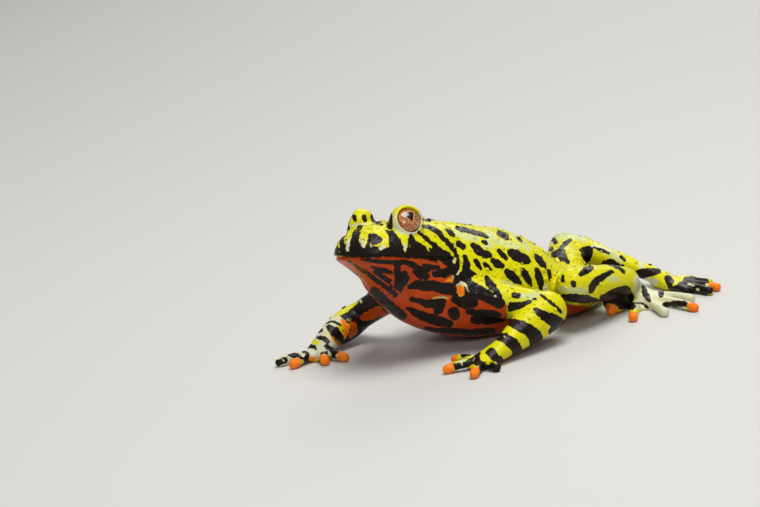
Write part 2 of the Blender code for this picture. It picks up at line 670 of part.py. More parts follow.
def build():
    """Model the toad."""
    clear_scene()
    body = make_head()
    pieces = [make_torso()]
    pieces += make_arm("left", (SHOULDER_LEFT, ELBOW_LEFT, WRIST_LEFT, PALM_LEFT), FINGER_TIPS_LEFT,
                       UPPER_ARM_RADII_LEFT, FOREARM_RADII_LEFT)
    pieces += make_arm("right", (SHOULDER_RIGHT, ELBOW_RIGHT, WRIST_RIGHT, PALM_RIGHT), FINGER_TIPS_RIGHT,
                       UPPER_ARM_RADII_RIGHT, FOREARM_RADII_RIGHT)
    pieces += make_leg("left", (HIP_LEFT, KNEE_LEFT, ANKLE_LEFT, FOOT_LEFT), TOE_TIPS_LEFT,
                       THIGH_RADII_LEFT, SHANK_RADII_LEFT, TARSUS_RADII_LEFT)
    pieces += make_leg("right", (HIP_RIGHT, KNEE_RIGHT, ANKLE_RIGHT, FOOT_RIGHT), TOE_TIPS_RIGHT,
                       THIGH_RADII_RIGHT, SHANK_RADII_RIGHT, TARSUS_RADII_RIGHT)
    for side in (1, -1):
        gaze = gaze_of(side)
        lid_centre = eye_centre(side) - gaze * LID_OFFSET
        pieces.append(lens("lid_form", lid_centre, gaze, LID_RADIUS, LID_HALF_DEPTH))
        pieces.append(lid_rim(side))
    pieces.append(ball("heel_pad_form", HEEL_PAD_LEFT, HEEL_PAD_RADIUS))
    boolean(body, pieces, "UNION")
    set_in_one_skin(body)
    cutters = [floor_box(), mouth_cutter(body)]
    for side in (1, -1):
        cutters.append(lens("socket", eye_centre(side), gaze_of(side), EYE_RADIUS + GAP,
                            EYE_HALF_DEPTH + GAP, 28))
        nostril = head_point(NOSTRIL_SIDE * side, NOSTRIL_FORWARD, NOSTRIL_UP)
        cutters.append(ball("nostril", nostril, NOSTRIL_RADIUS, 8))
    boolean(body, cutters + parting_plates(), "DIFFERENCE")
    part_nodes(body)
    for name, side in (("eye_left", 1), ("eye_right", -1)):
        add_material(lens(name, eye_centre(side), gaze_of(side), EYE_RADIUS, EYE_HALF_DEPTH, 28))
    stand_on_origin()


build()
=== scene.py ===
"""Oriental fire-bellied toad, life size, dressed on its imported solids: one wet warty skin with its markings,
glossy copper eyes, a plain pale floor and the camera.

Sizes are in millimetres in the toad's own frame, which faces -Y with its left side at +X. SHIFT moves
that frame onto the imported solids. Marks are strokes given in pixels of the 760 x 507 photograph.
"""

import math

import bmesh
import bpy
import numpy as np
from mathutils import Matrix, Vector
from mathutils.bvhtree import BVHTree


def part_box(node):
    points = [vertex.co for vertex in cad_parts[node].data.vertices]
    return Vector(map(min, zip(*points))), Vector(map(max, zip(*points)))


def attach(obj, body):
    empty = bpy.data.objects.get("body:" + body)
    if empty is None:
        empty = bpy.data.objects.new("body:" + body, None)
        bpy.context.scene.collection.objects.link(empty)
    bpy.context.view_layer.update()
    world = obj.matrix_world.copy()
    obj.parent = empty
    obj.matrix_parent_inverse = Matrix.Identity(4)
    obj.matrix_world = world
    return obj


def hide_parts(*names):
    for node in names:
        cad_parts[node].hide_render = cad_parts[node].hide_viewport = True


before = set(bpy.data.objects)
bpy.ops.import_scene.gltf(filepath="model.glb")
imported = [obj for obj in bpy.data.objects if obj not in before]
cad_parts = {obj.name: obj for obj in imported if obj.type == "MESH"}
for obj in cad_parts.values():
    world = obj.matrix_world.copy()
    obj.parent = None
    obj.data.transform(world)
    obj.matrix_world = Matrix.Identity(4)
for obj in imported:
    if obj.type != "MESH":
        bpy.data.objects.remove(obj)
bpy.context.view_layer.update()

bl_info = {
    "name": "Fire-bellied toad",
    "version": (1, 0, 0),
    "blender": (4, 5, 0),
    "location": "3D View > Sidebar > Toad",
    "description": "Builds the skin, markings, warts and eyes of a fire-bellied toad",
    "category": "Add Mesh",
}

MM = 0.001

# Head: its own frame starts midway between the corners of the mouth, in the plane of the mouth line
HEAD_ORIGIN = Vector((-1.3, 4.1, 14.7))
HEAD_YAW = math.radians(8.0)
HEAD_PITCH = math.radians(16.5)
HEAD_ROLL = math.radians(4.0)  # its right side lower
SNOUT_LENGTH = 13.2
JAW_HALF_WIDTH = 8.4
LIP_STEP = 0.3  # how far the upper lip stands out over the lower
MOUTH_GROOVE = 0.3
MOUTH_CORNER = -0.4  # where the mouth line ends, along the head from its origin
NOSTRIL_FORWARD, NOSTRIL_SIDE, NOSTRIL_UP, NOSTRIL_RADIUS = 12.2, 1.7, 2.6, 0.4

# Head sections along the head: forward, half width, height over the mouth, depth under it
HEAD_SECTIONS = (
    (13.2, 1.2, 0.8, 0.3),
    (12.9, 2.5, 1.8, 0.6),
    (12.2, 3.7, 2.8, 0.8),
    (11.2, 4.8, 3.6, 1.1),
    (9.6, 5.9, 4.3, 1.6),
    (7.6, 6.8, 5.0, 2.5),
    (5.2, 7.5, 5.6, 3.9),
    (2.6, 8.1, 5.9, 5.9),
    (0.0, 8.4, 6.2, 7.8),
    (-3.0, 8.5, 6.3, 8.6),
)

# Eyes: centre in the head's frame, lids and the way they look
EYE_SIDE, EYE_FORWARD, EYE_UP = 4.6, 5.4, 5.35
EYE_DROP_RIGHT = 0.4  # the right eye is drawn in a little further
LID_RADIUS, LID_HALF_DEPTH, LID_OFFSET = 2.75, 2.05, 0.05
LID_RIM_RADIUS, LID_RIM_THICKNESS, LID_RIM_FORWARD = 2.15, 0.36, 0.9
LID_RIM_RAISE = 0.12  # the upper lid stands a little further out than the lower
GAZE = Vector((0.85, 0.42, 0.32)).normalized()  # outward, forward, up

# Torso sections down the back: y, middle x, half width, top, bottom and fullness of the belly, which is 1
# where it is round and less where it spreads on the floor
TORSO_SECTIONS = (
    (-1.0, -0.8, 6.0, 19.6, 9.0, 1.0),
    (3.0, -0.8, 7.8, 20.1, 4.7, 1.0),
    (7.0, -0.4, 8.7, 20.1, 2.3, 0.95),
    (11.0, -0.1, 9.5, 19.1, 0.7, 0.9),
    (15.0, 0.0, 10.3, 17.7, -0.1, 0.85),
    (19.0, 0.0, 10.6, 16.3, -0.12, 0.8),
    (23.0, 0.2, 10.3, 14.7, -0.12, 0.7),
    (27.0, 1.0, 9.5, 12.2, -0.12, 0.6),
    (31.0, 2.4, 8.2, 8.2, -0.12, 0.55),
    (34.5, 3.8, 6.1, 6.3, 0.0, 0.6),
    (37.5, 5.0, 3.6, 5.1, 1.0, 0.8),
    (39.0, 5.6, 1.5, 4.2, 2.2, 1.0),
)
WIDEST_HEIGHT = 0.42  # height of the widest line, as a share of the section's height
CROWN_FULLNESS = 0.86  # of the head's upper half, flat between the eyes and steep down the cheeks

# Fore legs: joints and radii
SHOULDER_LEFT = Vector((7.0, 8.3, 9.2))
ELBOW_LEFT = Vector((15.5, 16.3, 5.1))
WRIST_LEFT = Vector((16.1, 5.8, 2.1))
PALM_LEFT = Vector((15.3, 2.2, 1.1))
FINGER_TIPS_LEFT = (
    Vector((9.6, 2.0, 0.0)),
    Vector((12.3, -2.3, 0.0)),
    Vector((18.2, -2.3, 0.0)),
    Vector((18.8, 1.7, 0.0)),
)
SHOULDER_RIGHT = Vector((-6.6, 6.6, 8.6))
ELBOW_RIGHT = Vector((-16.0, 5.3, 3.6))
WRIST_RIGHT = Vector((-14.9, -1.9, 2.3))
PALM_RIGHT = Vector((-13.6, -5.5, 1.1))
FINGER_TIPS_RIGHT = (
    Vector((-8.3, -4.7, 0.0)),
    Vector((-9.8, -7.4, 0.0)),
    Vector((-13.2, -10.9, 0.0)),
    Vector((-16.4, -11.0, 0.0)),
)
UPPER_ARM_RADII_LEFT = (3.0, 2.7, 2.8)
FOREARM_RADII_LEFT = (3.1, 2.9, 2.2, 1.6)
UPPER_ARM_RADII_RIGHT = (2.8, 2.3, 2.2)
FOREARM_RADII_RIGHT = (2.3, 2.5, 2.3, 1.9)
PALM_HALF_WIDTH, PALM_HALF_HEIGHT = 2.2, 1.1
FINGER_RADIUS, FINGER_TIP_RADIUS = 0.72, 0.8

# Hind legs: joints and radii
HIP_LEFT = Vector((7.0, 31.6, 3.6))
KNEE_LEFT = Vector((15.2, 22.7, 7.4))
ANKLE_LEFT = Vector((13.2, 35.6, 4.4))
FOOT_LEFT = Vector((11.2, 40.0, 1.6))
TOE_TIPS_LEFT = (
    Vector((13.6, 31.4, 0.0)),
    Vector((19.5, 30.3, 0.0)),
    Vector((22.3, 34.4, 0.0)),
    Vector((24.9, 38.4, 0.0)),
    Vector((20.6, 42.2, 0.0)),
)
HIP_RIGHT = Vector((1.0, 34.6, 4.5))
KNEE_RIGHT = Vector((-9.6, 44.9, 5.5))
ANKLE_RIGHT = Vector((2.4, 44.6, 4.4))
FOOT_RIGHT = Vector((8.6, 46.8, 2.0))
TOE_TIPS_RIGHT = (
    Vector((13.4, 50.6, 0.0)),
    Vector((17.0, 50.3, 0.0)),
    Vector((20.0, 48.8, 0.0)),
    Vector((20.4, 46.6, 0.0)),
    Vector((17.0, 45.0, 0.0)),
)
THIGH_RADII_LEFT = (3.3, 3.2, 3.0, 2.8)
SHANK_RADII_LEFT = (2.7, 2.9, 2.8, 2.3)
TARSUS_RADII_LEFT = (2.2, 1.6, 1.3)
THIGH_RADII_RIGHT = (3.3, 3.2, 2.7, 2.3)
SHANK_RADII_RIGHT = (2.2, 2.4, 1.9, 1.6)
TARSUS_RADII_RIGHT = (1.7, 1.35, 1.3)
FOOT_HALF_WIDTH, FOOT_HALF_HEIGHT = 1.9, 1.0
HEEL_PAD_LEFT, HEEL_PAD_RADIUS = Vector((13.0, 33.2, 1.9)), 2.0
TOE_RADIUS, TOE_TIP_RADIUS = 0.7, 0.78
FLOOR_SINK = 0.12
WEB_THICKNESS = 0.6
WEB_REACH = 0.7  # share of each toe that the web runs along
WEB_DIP = 0.34  # how far the web's edge dips back between two toes

# Mesh sizes
RING_POINTS = 48
LIMB_POINTS = 20
STEPS_PER_SPAN = 5

UP = Vector((0.0, 0.0, 1.0))

# Camera: heading round the toad, height above the horizon, roll and distance, and the place of one
# photograph point, the left palm's front edge
CAMERA_HEADING = math.radians(40.0)
CAMERA_ELEVATION = math.radians(13.5)
CAMERA_ROLL = math.radians(7.5)
CAMERA_DISTANCE = 480.0
FOCAL_PIXELS = 3240.0
PHOTO_WIDTH, PHOTO_HEIGHT = 760, 507
ANCHOR = Vector((17.0, -1.0, 0.5))
ANCHOR_PIXEL = (475.0, 372.0)
SENSOR_WIDTH = 36.0
PIXELS_PER_MM = FOCAL_PIXELS / CAMERA_DISTANCE

# Markings: how far round a limb's bones its own marks reach, how deep a mark runs into the photograph,
# as a share of a depth of the same size, and how much of each digit's tip is orange
LIMB_REACH = 0.9
BODY_DEPTH_SHARE = 0.15
LIMB_DEPTH_SHARE = 0.1
# Millimetres that black keeps over the rim of a paler mark laid on it, so that no yellow shows between.
BLACK_RIM = 0.05
TIP_REACH = 1.25
ORANGE_TIPS = FINGER_TIPS_LEFT[:3] + FINGER_TIPS_RIGHT[:3] + (
    TOE_TIPS_LEFT[0], TOE_TIPS_LEFT[1], TOE_TIPS_LEFT[3], TOE_TIPS_RIGHT[2],
)

# Pupil: centre and half-size in millimetres across the eye's face, and the outward normals of its three
# rounded sides, of which the lower two meet in a point
PUPIL_CENTRE = (-0.05, 0.5, 0.0)
PUPIL_REACH = 0.56
PUPIL_SIDES = ((0.0, 1.0, 0.0), (0.84, -0.5, 0.0), (-0.84, -0.5, 0.0))


# Paints of the marks. Besides the toad's own colours, black also lays painted shade, pale lays painted sheen where
# the wet skin mirrors the sky, and cream lays painted highlights.
BLACK_AND_SHADE, YELLOW, PALE_AND_SHEEN, ORANGE, CREAM_AND_HIGHLIGHT, BRIGHT = "black", "yellow", "pale", "orange", "cream", "tip"

# Each mark is a paint and a stroke: photograph points with half widths, all in pixels. Later marks lie
# over earlier ones.
FACE_MARKS = (
    (BLACK_AND_SHADE, (336, 250, 3), (345, 249, 5), (355, 248, 6), (366, 250, 5), (376, 251, 4.5), (386, 252, 4.5),
     (396, 251, 6), (406, 253, 5), (416, 252, 6.5), (426, 253, 6), (436, 256, 6), (446, 259, 6), (455, 264, 6)),
    (BLACK_AND_SHADE, (333, 252, 2.6), (345, 254, 2.8), (360, 255, 2.6), (380, 255.5, 2.2)),
    (BLACK_AND_SHADE, (350, 214, 2.5), (347.5, 220, 3), (346, 226, 2.5)),
    (BLACK_AND_SHADE, (347, 227, 3), (343, 236, 2.8), (340, 246, 3)),
    (BLACK_AND_SHADE, (361, 226, 2), (357, 232, 4), (354, 240, 4.5), (356, 248, 5)),
    (BLACK_AND_SHADE, (386, 232, 2), (392, 235, 4.5), (395, 243, 6.5), (396, 249, 6.5)),
    (BLACK_AND_SHADE, (412, 236, 2.5), (412, 243, 4.5), (417, 247, 5), (423, 249, 4)),
    (BLACK_AND_SHADE, (433, 244, 2.5), (438, 249, 6), (445, 255, 6)),
    (BLACK_AND_SHADE, (370, 236, 2.5), (375, 238, 4.2), (379, 240, 3.5), (371, 242, 4)),
    (YELLOW, (341, 235, 1.6), (338, 241, 1.6), (339, 247, 1.2)),
    (YELLOW, (353, 227, 2.3), (350, 235, 2.2), (348, 243, 2.2), (347.5, 249, 2)),
    (CREAM_AND_HIGHLIGHT, (349.5, 239, 1.6), (348, 245, 2), (347.5, 250, 2)),
    (YELLOW, (366, 229, 3), (373, 230, 3), (381, 229, 3.2), (389, 226, 2.6), (396, 229, 2.4)),
    (YELLOW, (384, 232, 2.5), (386, 238, 3.2), (385, 243, 3.2), (381, 248, 2.5)),
    (CREAM_AND_HIGHLIGHT, (384, 247, 2.2), (380, 248, 2)),
    (YELLOW, (366, 231, 3), (363, 238, 3), (363, 244, 2.6)),
    (CREAM_AND_HIGHLIGHT, (363, 240, 2.4), (363.5, 246, 2.2)),
    (CREAM_AND_HIGHLIGHT, (370.5, 244, 1.2), (371, 247, 1.2)),
    (YELLOW, (397, 229, 3), (402, 234, 3.4), (404.5, 241, 3.2), (405, 247, 2.2), (405, 252, 0.9)),
    (CREAM_AND_HIGHLIGHT, (405, 246, 1.8), (405, 252, 0.9)),
    (YELLOW, (414, 235, 1.6), (419, 239, 1.8), (424, 243, 1.8), (427, 246, 1.6), (428.5, 251, 1.5)),
    (YELLOW, (424, 230, 1.2), (427, 235, 2.2), (433, 238.5, 3), (438, 242, 3), (443, 246, 2.8),
     (448, 250, 2.2), (450, 252, 1)),
    (BLACK_AND_SHADE, (418, 232, 1.5), (423, 236, 2), (428, 240, 2.3), (430, 243, 1.3)),
    (BLACK_AND_SHADE, (422, 226, 1.6), (429, 227, 2.6), (435, 230, 3), (440, 234, 3), (443, 238, 2.4), (447, 242, 2.6),
     (451, 246, 2.8), (455, 252, 1.8)),
    (CREAM_AND_HIGHLIGHT, (344.5, 238, 0.9), (344.6, 238.5, 0.9)),
    (CREAM_AND_HIGHLIGHT, (339.5, 252, 0.7), (339.6, 252.3, 0.7)),
)
CROWN_MARKS = (
    (BLACK_AND_SHADE, (372, 215, 1.6), (374, 221, 2.4)),
    (BLACK_AND_SHADE, (375, 223, 1.8), (380, 224, 1.8)),
    (BLACK_AND_SHADE, (389.5, 213, 2.4), (388.5, 220, 4), (390, 226.5, 3)),
    (BLACK_AND_SHADE, (354, 216, 2), (355, 220, 2.2)),
    (BLACK_AND_SHADE, (364, 216.5, 2.2), (365, 220.5, 2)),
    (CREAM_AND_HIGHLIGHT, (348, 226, 1), (356, 224.5, 1), (364, 224, 1), (370, 224, 1)),
    (BLACK_AND_SHADE, (401, 203.8, 1.5), (404, 203.6, 1.5)),
    (BLACK_AND_SHADE, (423.5, 219, 1.8), (429, 220, 2.6)),
    (BLACK_AND_SHADE, (447, 229.5, 1.5), (450.5, 232.5, 3), (454.5, 235.5, 1.6)),
    (CREAM_AND_HIGHLIGHT, (420, 213, 1.6), (420.5, 219, 2.4), (418.5, 226, 3.2), (413, 231, 3.4), (407, 232, 3.4),
     (401, 230, 3.2), (396.5, 226, 2.8), (394.8, 220, 2), (395.5, 214, 1.4)),
)
THROAT_MARKS = (
    (BLACK_AND_SHADE, (349, 261, 1), (356, 266, 1.4), (364, 272, 1.6)),
    (BLACK_AND_SHADE, (361, 259.5, 0.8), (372, 261, 1.8), (384, 262, 2.2), (395, 262.5, 2.4), (405, 262, 2.4),
     (413, 265, 3), (420, 269, 2.6), (428, 271, 1.4)),
    (BLACK_AND_SHADE, (424, 265, 1.8), (430, 267, 2.6), (438, 267.5, 2)),
    (BLACK_AND_SHADE, (372, 267, 1.2), (379, 269.5, 2), (386, 271, 2.4), (391, 272.5, 1.8)),
    (BLACK_AND_SHADE, (398, 264, 3.2), (397, 272, 3), (399, 280, 4), (398, 288, 4.6), (395, 294, 3)),
    (BLACK_AND_SHADE, (404, 273, 2.6), (406, 277.5, 3.4), (402, 284, 4)),
    (BLACK_AND_SHADE, (414, 271.5, 2), (420, 274.5, 4), (426, 276.5, 3.4)),
    (BLACK_AND_SHADE, (435, 274, 3), (444, 273, 4.6), (451, 270, 4), (456, 265, 4)),
    (BLACK_AND_SHADE, (410, 287, 2.6), (417, 284.5, 4.4), (424, 286, 4.8), (432, 285.5, 5), (441, 288, 5.4), (450, 289, 6),
     (456, 292, 5)),
    (BLACK_AND_SHADE, (366, 272, 1.8), (376, 279, 3.4), (385, 285, 4.6), (392, 291, 5)),
    (BLACK_AND_SHADE, (375, 272, 2), (383, 277, 2.4), (390, 281, 1.8)),
    (BLACK_AND_SHADE, (456, 256, 2.4), (455, 264, 5), (456, 272, 5), (457, 280, 4)),
    (ORANGE, (357, 262, 0.8), (366, 268.5, 1), (376, 276, 1.1), (388, 284.5, 0.9), (399, 293, 1.2)),
    (ORANGE, (374, 281.5, 0.5), (384, 289, 0.8), (392, 296, 1)),
    (ORANGE, (438, 262, 2.4), (441, 263.5, 2)),
    (BRIGHT, (447, 281, 0.8), (451.5, 279.5, 1.6)),
    (CREAM_AND_HIGHLIGHT, (453.5, 276, 1), (453, 279, 1)),
)
CHEST_MARKS = (
    (BLACK_AND_SHADE, (411, 299, 2), (420, 301, 3), (428, 304, 4), (436, 304, 5), (442, 302, 4), (438, 310, 4.6)),
    (BLACK_AND_SHADE, (408, 309, 2.6), (416, 313, 4), (425, 317, 4.6), (434, 320, 5), (442, 322, 5), (450, 324, 3.4)),
    (BLACK_AND_SHADE, (453.5, 312.5, 5.6), (454.5, 314.5, 5.6)),
    (BLACK_AND_SHADE, (456, 299, 4.6), (464, 303, 5.6), (473, 303, 5)),
    (BLACK_AND_SHADE, (468, 312, 2.4), (480, 313.5, 4.2), (492, 313.5, 3.6), (505, 315, 2.4)),
    (BLACK_AND_SHADE, (474, 320, 3.6), (488, 320.5, 4), (502, 319, 2.6)),
    # Painted shadow: black along the underside of the chest, where it lies in shade.
    (BLACK_AND_SHADE, (426, 329, 2), (450, 331, 3.2), (470, 332.5, 3.4), (492, 331, 3.4)),
    (BLACK_AND_SHADE, (374, 291, 4.4), (381, 297, 5.4), (388, 303, 6), (396, 310, 6), (402, 315, 5)),
    (ORANGE, (380, 290, 0.9), (390, 298, 1.2), (401, 307, 1.6), (413, 318, 2), (423, 325, 1.8)),
    # Painted highlight along the edge of the fold between throat and chest.
    (CREAM_AND_HIGHLIGHT, (448, 298, 0.5), (440, 297.5, 0.7), (433, 298.5, 0.5)),
)
BACK_MARKS = (
    # Painted reflection: these pale strokes on the crest of the back stand for the sky mirrored in the wet skin.
    (PALE_AND_SHEEN, (455, 232, 2), (460, 234.5, 3), (468, 237, 3.4), (476, 239, 2.6)),
    (PALE_AND_SHEEN, (488, 231, 2.4), (491, 237, 4), (490, 245, 3.4), (484, 246.5, 1.6)),
    (PALE_AND_SHEEN, (498, 242, 3), (508, 244, 3.2), (518, 247, 3)),
    (PALE_AND_SHEEN, (524, 243.5, 2.4), (528, 249, 3)),
    (PALE_AND_SHEEN, (512, 233, 1.8), (516, 237, 2)),
    # Painted highlight along the skin folds of the flank.
    (PALE_AND_SHEEN, (503, 282, 1.4), (512, 285, 2)),
    (BLACK_AND_SHADE, (457, 228, 1.8), (464, 229.5, 2.6), (472, 232, 2.4), (480, 233.8, 2.8), (487, 237, 1.6)),
    (BLACK_AND_SHADE, (500, 233.5, 3.4), (505, 236, 3.8), (508, 238.5, 1.8)),
    (BLACK_AND_SHADE, (519, 238.5, 1.6), (521, 241, 1.6)),
    (BLACK_AND_SHADE, (458.5, 243.5, 2.8), (463, 246.5, 3)),
    (BLACK_AND_SHADE, (483.5, 241.5, 2), (486.5, 243.5, 1.6)),
    (BLACK_AND_SHADE, (473, 245, 2.6), (477, 248.5, 4), (481, 252.5, 4), (487, 255, 3.6), (490, 256, 2)),
    (BLACK_AND_SHADE, (499, 251, 2), (503, 255, 2.8), (507, 259, 1.4)),
    (BLACK_AND_SHADE, (511, 252.5, 3.6), (517, 256, 5.6), (524, 259, 5), (528, 261.5, 2.6)),
    (BLACK_AND_SHADE, (536, 256, 2.2), (539.5, 260, 3.6), (543, 264.5, 3), (545, 268, 1.2)),
    (BLACK_AND_SHADE, (475, 260, 1.6), (478, 264, 2.4), (481, 269, 1.2)),
    (BLACK_AND_SHADE, (484, 263.5, 1.5), (488, 267, 2), (491, 269.5, 0.9)),
    (BLACK_AND_SHADE, (493, 260.5, 2.4), (497, 263.5, 4.4), (501.5, 266, 2.8)),
    (BLACK_AND_SHADE, (507, 271.5, 3), (511, 275, 4.4), (516, 279.5, 3.6), (521, 283.5, 1.2)),
    (BLACK_AND_SHADE, (523.5, 270.5, 2.2), (525.5, 275, 3.8), (529, 281, 3), (531, 285, 1.2)),
    (BLACK_AND_SHADE, (537, 270, 2.2), (538.5, 275.5, 3.8), (540.5, 282.5, 3), (541, 289, 1.2)),
    (BLACK_AND_SHADE, (549, 271, 1.8), (551, 279, 2.6), (551.5, 289, 1.8)),
    (BLACK_AND_SHADE, (465, 257, 2.4), (467, 264, 3.2), (466, 271, 4), (471, 274, 3.4), (475, 274.5, 1.6)),
    (BLACK_AND_SHADE, (462, 277, 5), (468, 280, 4)),
    (BLACK_AND_SHADE, (487, 278, 2.4), (489.5, 283.5, 4), (494, 288, 3)),
    (YELLOW, (461, 256, 1.2), (461.5, 264, 1.3), (459.5, 270, 1.3), (457.5, 274, 1.7)),
    (CREAM_AND_HIGHLIGHT, (459, 271.5, 1.2), (457.5, 274, 1.7)),
    (YELLOW, (456.5, 258, 1.2), (454.5, 261, 1.8)),
    (CREAM_AND_HIGHLIGHT, (455, 260, 1.4), (454, 262, 1.5)),
    (CREAM_AND_HIGHLIGHT, (546, 285, 1.2), (545, 294, 2.4)),
    (BLACK_AND_SHADE, (551, 249, 2.4), (555, 254, 4), (561, 252, 4.4), (563, 258, 4.2), (567, 262, 2.6)),
    (ORANGE, (552, 305, 4), (562, 310, 6), (576, 314, 7), (592, 314, 7)),
)
SHOULDER_MARKS = (
    (BLACK_AND_SHADE, (462, 282, 3.6), (470, 286, 5.4), (479, 292, 6.4), (489, 297, 6), (499, 303, 5.4), (510, 307, 4.6),
     (521, 305, 3), (529, 302, 2)),
    (BLACK_AND_SHADE, (456, 290, 5), (463, 296, 5.5), (472, 299, 4)),
    (BLACK_AND_SHADE, (495, 289, 2.6), (499, 296, 3.4)),
    (BLACK_AND_SHADE, (511, 287.5, 1), (517, 290, 1.5)),
    (BLACK_AND_SHADE, (513, 295.5, 2.8), (518, 295.5, 2.6)),
    (BLACK_AND_SHADE, (533, 299, 1), (536, 299, 1.2)),
    (CREAM_AND_HIGHLIGHT, (456, 286, 1.4), (461, 283, 2.2), (466, 285, 1.6), (467.5, 291, 1.3)),
    (BRIGHT, (460, 289, 4), (461, 292, 4.4)),
    (CREAM_AND_HIGHLIGHT, (495.5, 296, 1.9), (495.6, 296.4, 1.9)),
    # Painted highlights on the skin folds behind the arm.
    (CREAM_AND_HIGHLIGHT, (508, 302, 1.2), (512, 301, 1), (517, 302.5, 1.2)),
)
LEFT_ARM_MARKS = (
    # Painted highlight along the skin fold above the elbow.
    (PALE_AND_SHEEN, (520, 296, 2.6), (530, 296, 3), (538, 294, 2.4)),
    (BLACK_AND_SHADE, (470, 288, 5), (479, 292, 6.4), (489, 297, 6), (499, 303, 5.4), (510, 307, 4.6), (521, 305, 3),
     (529, 302, 2)),
    (BLACK_AND_SHADE, (495, 303, 5), (503, 310, 5), (503, 317, 3.6)),
    (BLACK_AND_SHADE, (495, 289, 2.4), (499, 296, 3)),
    (BLACK_AND_SHADE, (514, 295, 3), (518, 295.5, 2.8)),
    (BLACK_AND_SHADE, (533, 299, 1), (536, 299, 1.2)),
    (BLACK_AND_SHADE, (541, 295, 1), (549, 301, 1.6), (556, 307, 1.8), (561, 312, 1.4)),
    (BLACK_AND_SHADE, (536, 310, 2.8), (542, 314.5, 4.4), (551, 319, 6), (559, 324, 6.4), (553, 332, 4.6)),
    (BLACK_AND_SHADE, (508, 321, 3.4), (518, 325, 5.2), (528, 329.5, 6.2), (535, 336, 7), (537, 343, 6.6), (533, 351, 5)),
    (BLACK_AND_SHADE, (497, 336, 3.6), (505, 338, 5), (512, 343, 5.8), (517, 349, 5.2), (516, 355, 4)),
    (BLACK_AND_SHADE, (486, 351, 2.4), (491, 352, 4.6), (495, 357, 4.6), (500, 361, 3.6)),
    (BLACK_AND_SHADE, (471, 350, 2), (478, 353, 2.6), (476, 361, 3.4), (482, 366, 4), (490, 366, 4.4), (497, 369, 5)),
    (BLACK_AND_SHADE, (479, 349, 2.2), (470, 353, 2.6), (463, 355, 2.4)),
    (BLACK_AND_SHADE, (474, 360, 3.4), (465, 365, 3), (454, 367, 3.6)),
    (BLACK_AND_SHADE, (484, 366, 4), (479, 371, 3.6)),
    (YELLOW, (490, 344, 2.8), (484, 350, 2.4), (482, 356, 2.6), (487, 358, 2.2), (488, 363, 2.4)),
    (CREAM_AND_HIGHLIGHT, (475, 350.5, 1.3), (472, 356, 1.6)),
    (CREAM_AND_HIGHLIGHT, (474.5, 358, 1), (473, 361, 1)),
    (CREAM_AND_HIGHLIGHT, (465, 358.5, 1.4), (461, 362, 1.9), (462, 365, 1.3)),
    (CREAM_AND_HIGHLIGHT, (478.8, 366, 1), (478, 369, 1)),
    # Painted highlight on the black band of the forearm.
    (CREAM_AND_HIGHLIGHT, (504, 336, 0.8), (507, 339, 0.9)),
)
RIGHT_ARM_MARKS = (
    (CREAM_AND_HIGHLIGHT, (341, 319, 4), (330, 324, 6), (320, 331, 7), (314, 341, 8), (322, 350, 10), (308, 352, 7), (292, 358, 6),
     (281, 363, 6)),
    (CREAM_AND_HIGHLIGHT, (326, 340, 6), (336, 350, 6), (344, 356, 5)),
    # Black band and painted shade: this wide stroke darkens the far arm's inner side, whose lower part lies in
    # shadow.
    (BLACK_AND_SHADE, (392, 300, 14), (380, 308, 16), (366, 318, 14), (354, 332, 12), (346, 344, 6)),
    (BLACK_AND_SHADE, (378, 290, 6), (370, 298, 7), (361, 307, 6.4), (354, 314, 6.4), (347, 317, 4), (343, 316, 2.4)),
    (YELLOW, (356, 302, 2.4), (349, 307, 3.2), (342, 312, 2.8), (337, 315, 1.6)),
    (CREAM_AND_HIGHLIGHT, (360, 300.5, 1.8), (361, 302, 1.4)),
    (ORANGE, (363, 317.5, 3.8), (371, 315, 5.4), (377, 311.5, 5.4), (387, 316, 3)),
    (ORANGE, (353, 325, 4), (354, 331, 3.6), (351, 337, 2.2)),
    (BRIGHT, (342, 320, 1.6), (346, 326, 3.4), (346.5, 332, 3), (343.5, 338, 1.6)),
    (ORANGE, (331, 336.5, 1), (336, 341, 1.6), (341, 347, 2.2), (345, 352, 2)),
    (CREAM_AND_HIGHLIGHT, (348.5, 319.5, 1.5), (348.7, 320, 1.5)),
    (BLACK_AND_SHADE, (329, 327, 2.8), (335, 332, 5), (340, 338, 3.8)),
    (BLACK_AND_SHADE, (333, 321.5, 1.2), (341, 325, 1.5)),
    (BLACK_AND_SHADE, (322, 325, 0.9), (330, 321.5, 0.9)),
    (YELLOW, (314, 331, 1.6), (320, 326, 1.8), (325, 323, 1)),
    (BLACK_AND_SHADE, (313, 332.5, 1.6), (321, 330.5, 2)),
    (BLACK_AND_SHADE, (317.5, 337.5, 1.6), (323, 338.5, 2.6), (328, 341.5, 2)),
    (YELLOW, (311, 340, 3), (317, 343, 2.6)),
    (BLACK_AND_SHADE, (311.5, 340, 0.8), (311.7, 340.4, 0.8)),
    (BLACK_AND_SHADE, (303, 349, 2), (309, 345.5, 2), (314, 347, 1.9), (316, 349.5, 1.2)),
    (BLACK_AND_SHADE, (326, 346, 2), (332, 350, 3), (337, 354, 3.2), (334, 358, 3)),
    (CREAM_AND_HIGHLIGHT, (336, 356, 0.8), (339, 354.5, 0.8)),
    (BLACK_AND_SHADE, (322, 353.5, 1.6), (326, 353, 1.8)),
    (BLACK_AND_SHADE, (290, 354.5, 2.4), (297, 355.5, 3), (300, 359, 3)),
    (BLACK_AND_SHADE, (303.5, 351.5, 1.4), (308, 353.5, 1.6), (306, 360, 3)),
    (BLACK_AND_SHADE, (278, 363, 3.4), (285, 360, 2.8)),
    (CREAM_AND_HIGHLIGHT, (283, 360, 1.2), (284, 361, 1)),
    (BRIGHT, (311, 358.5, 2), (314, 359, 2)),
)
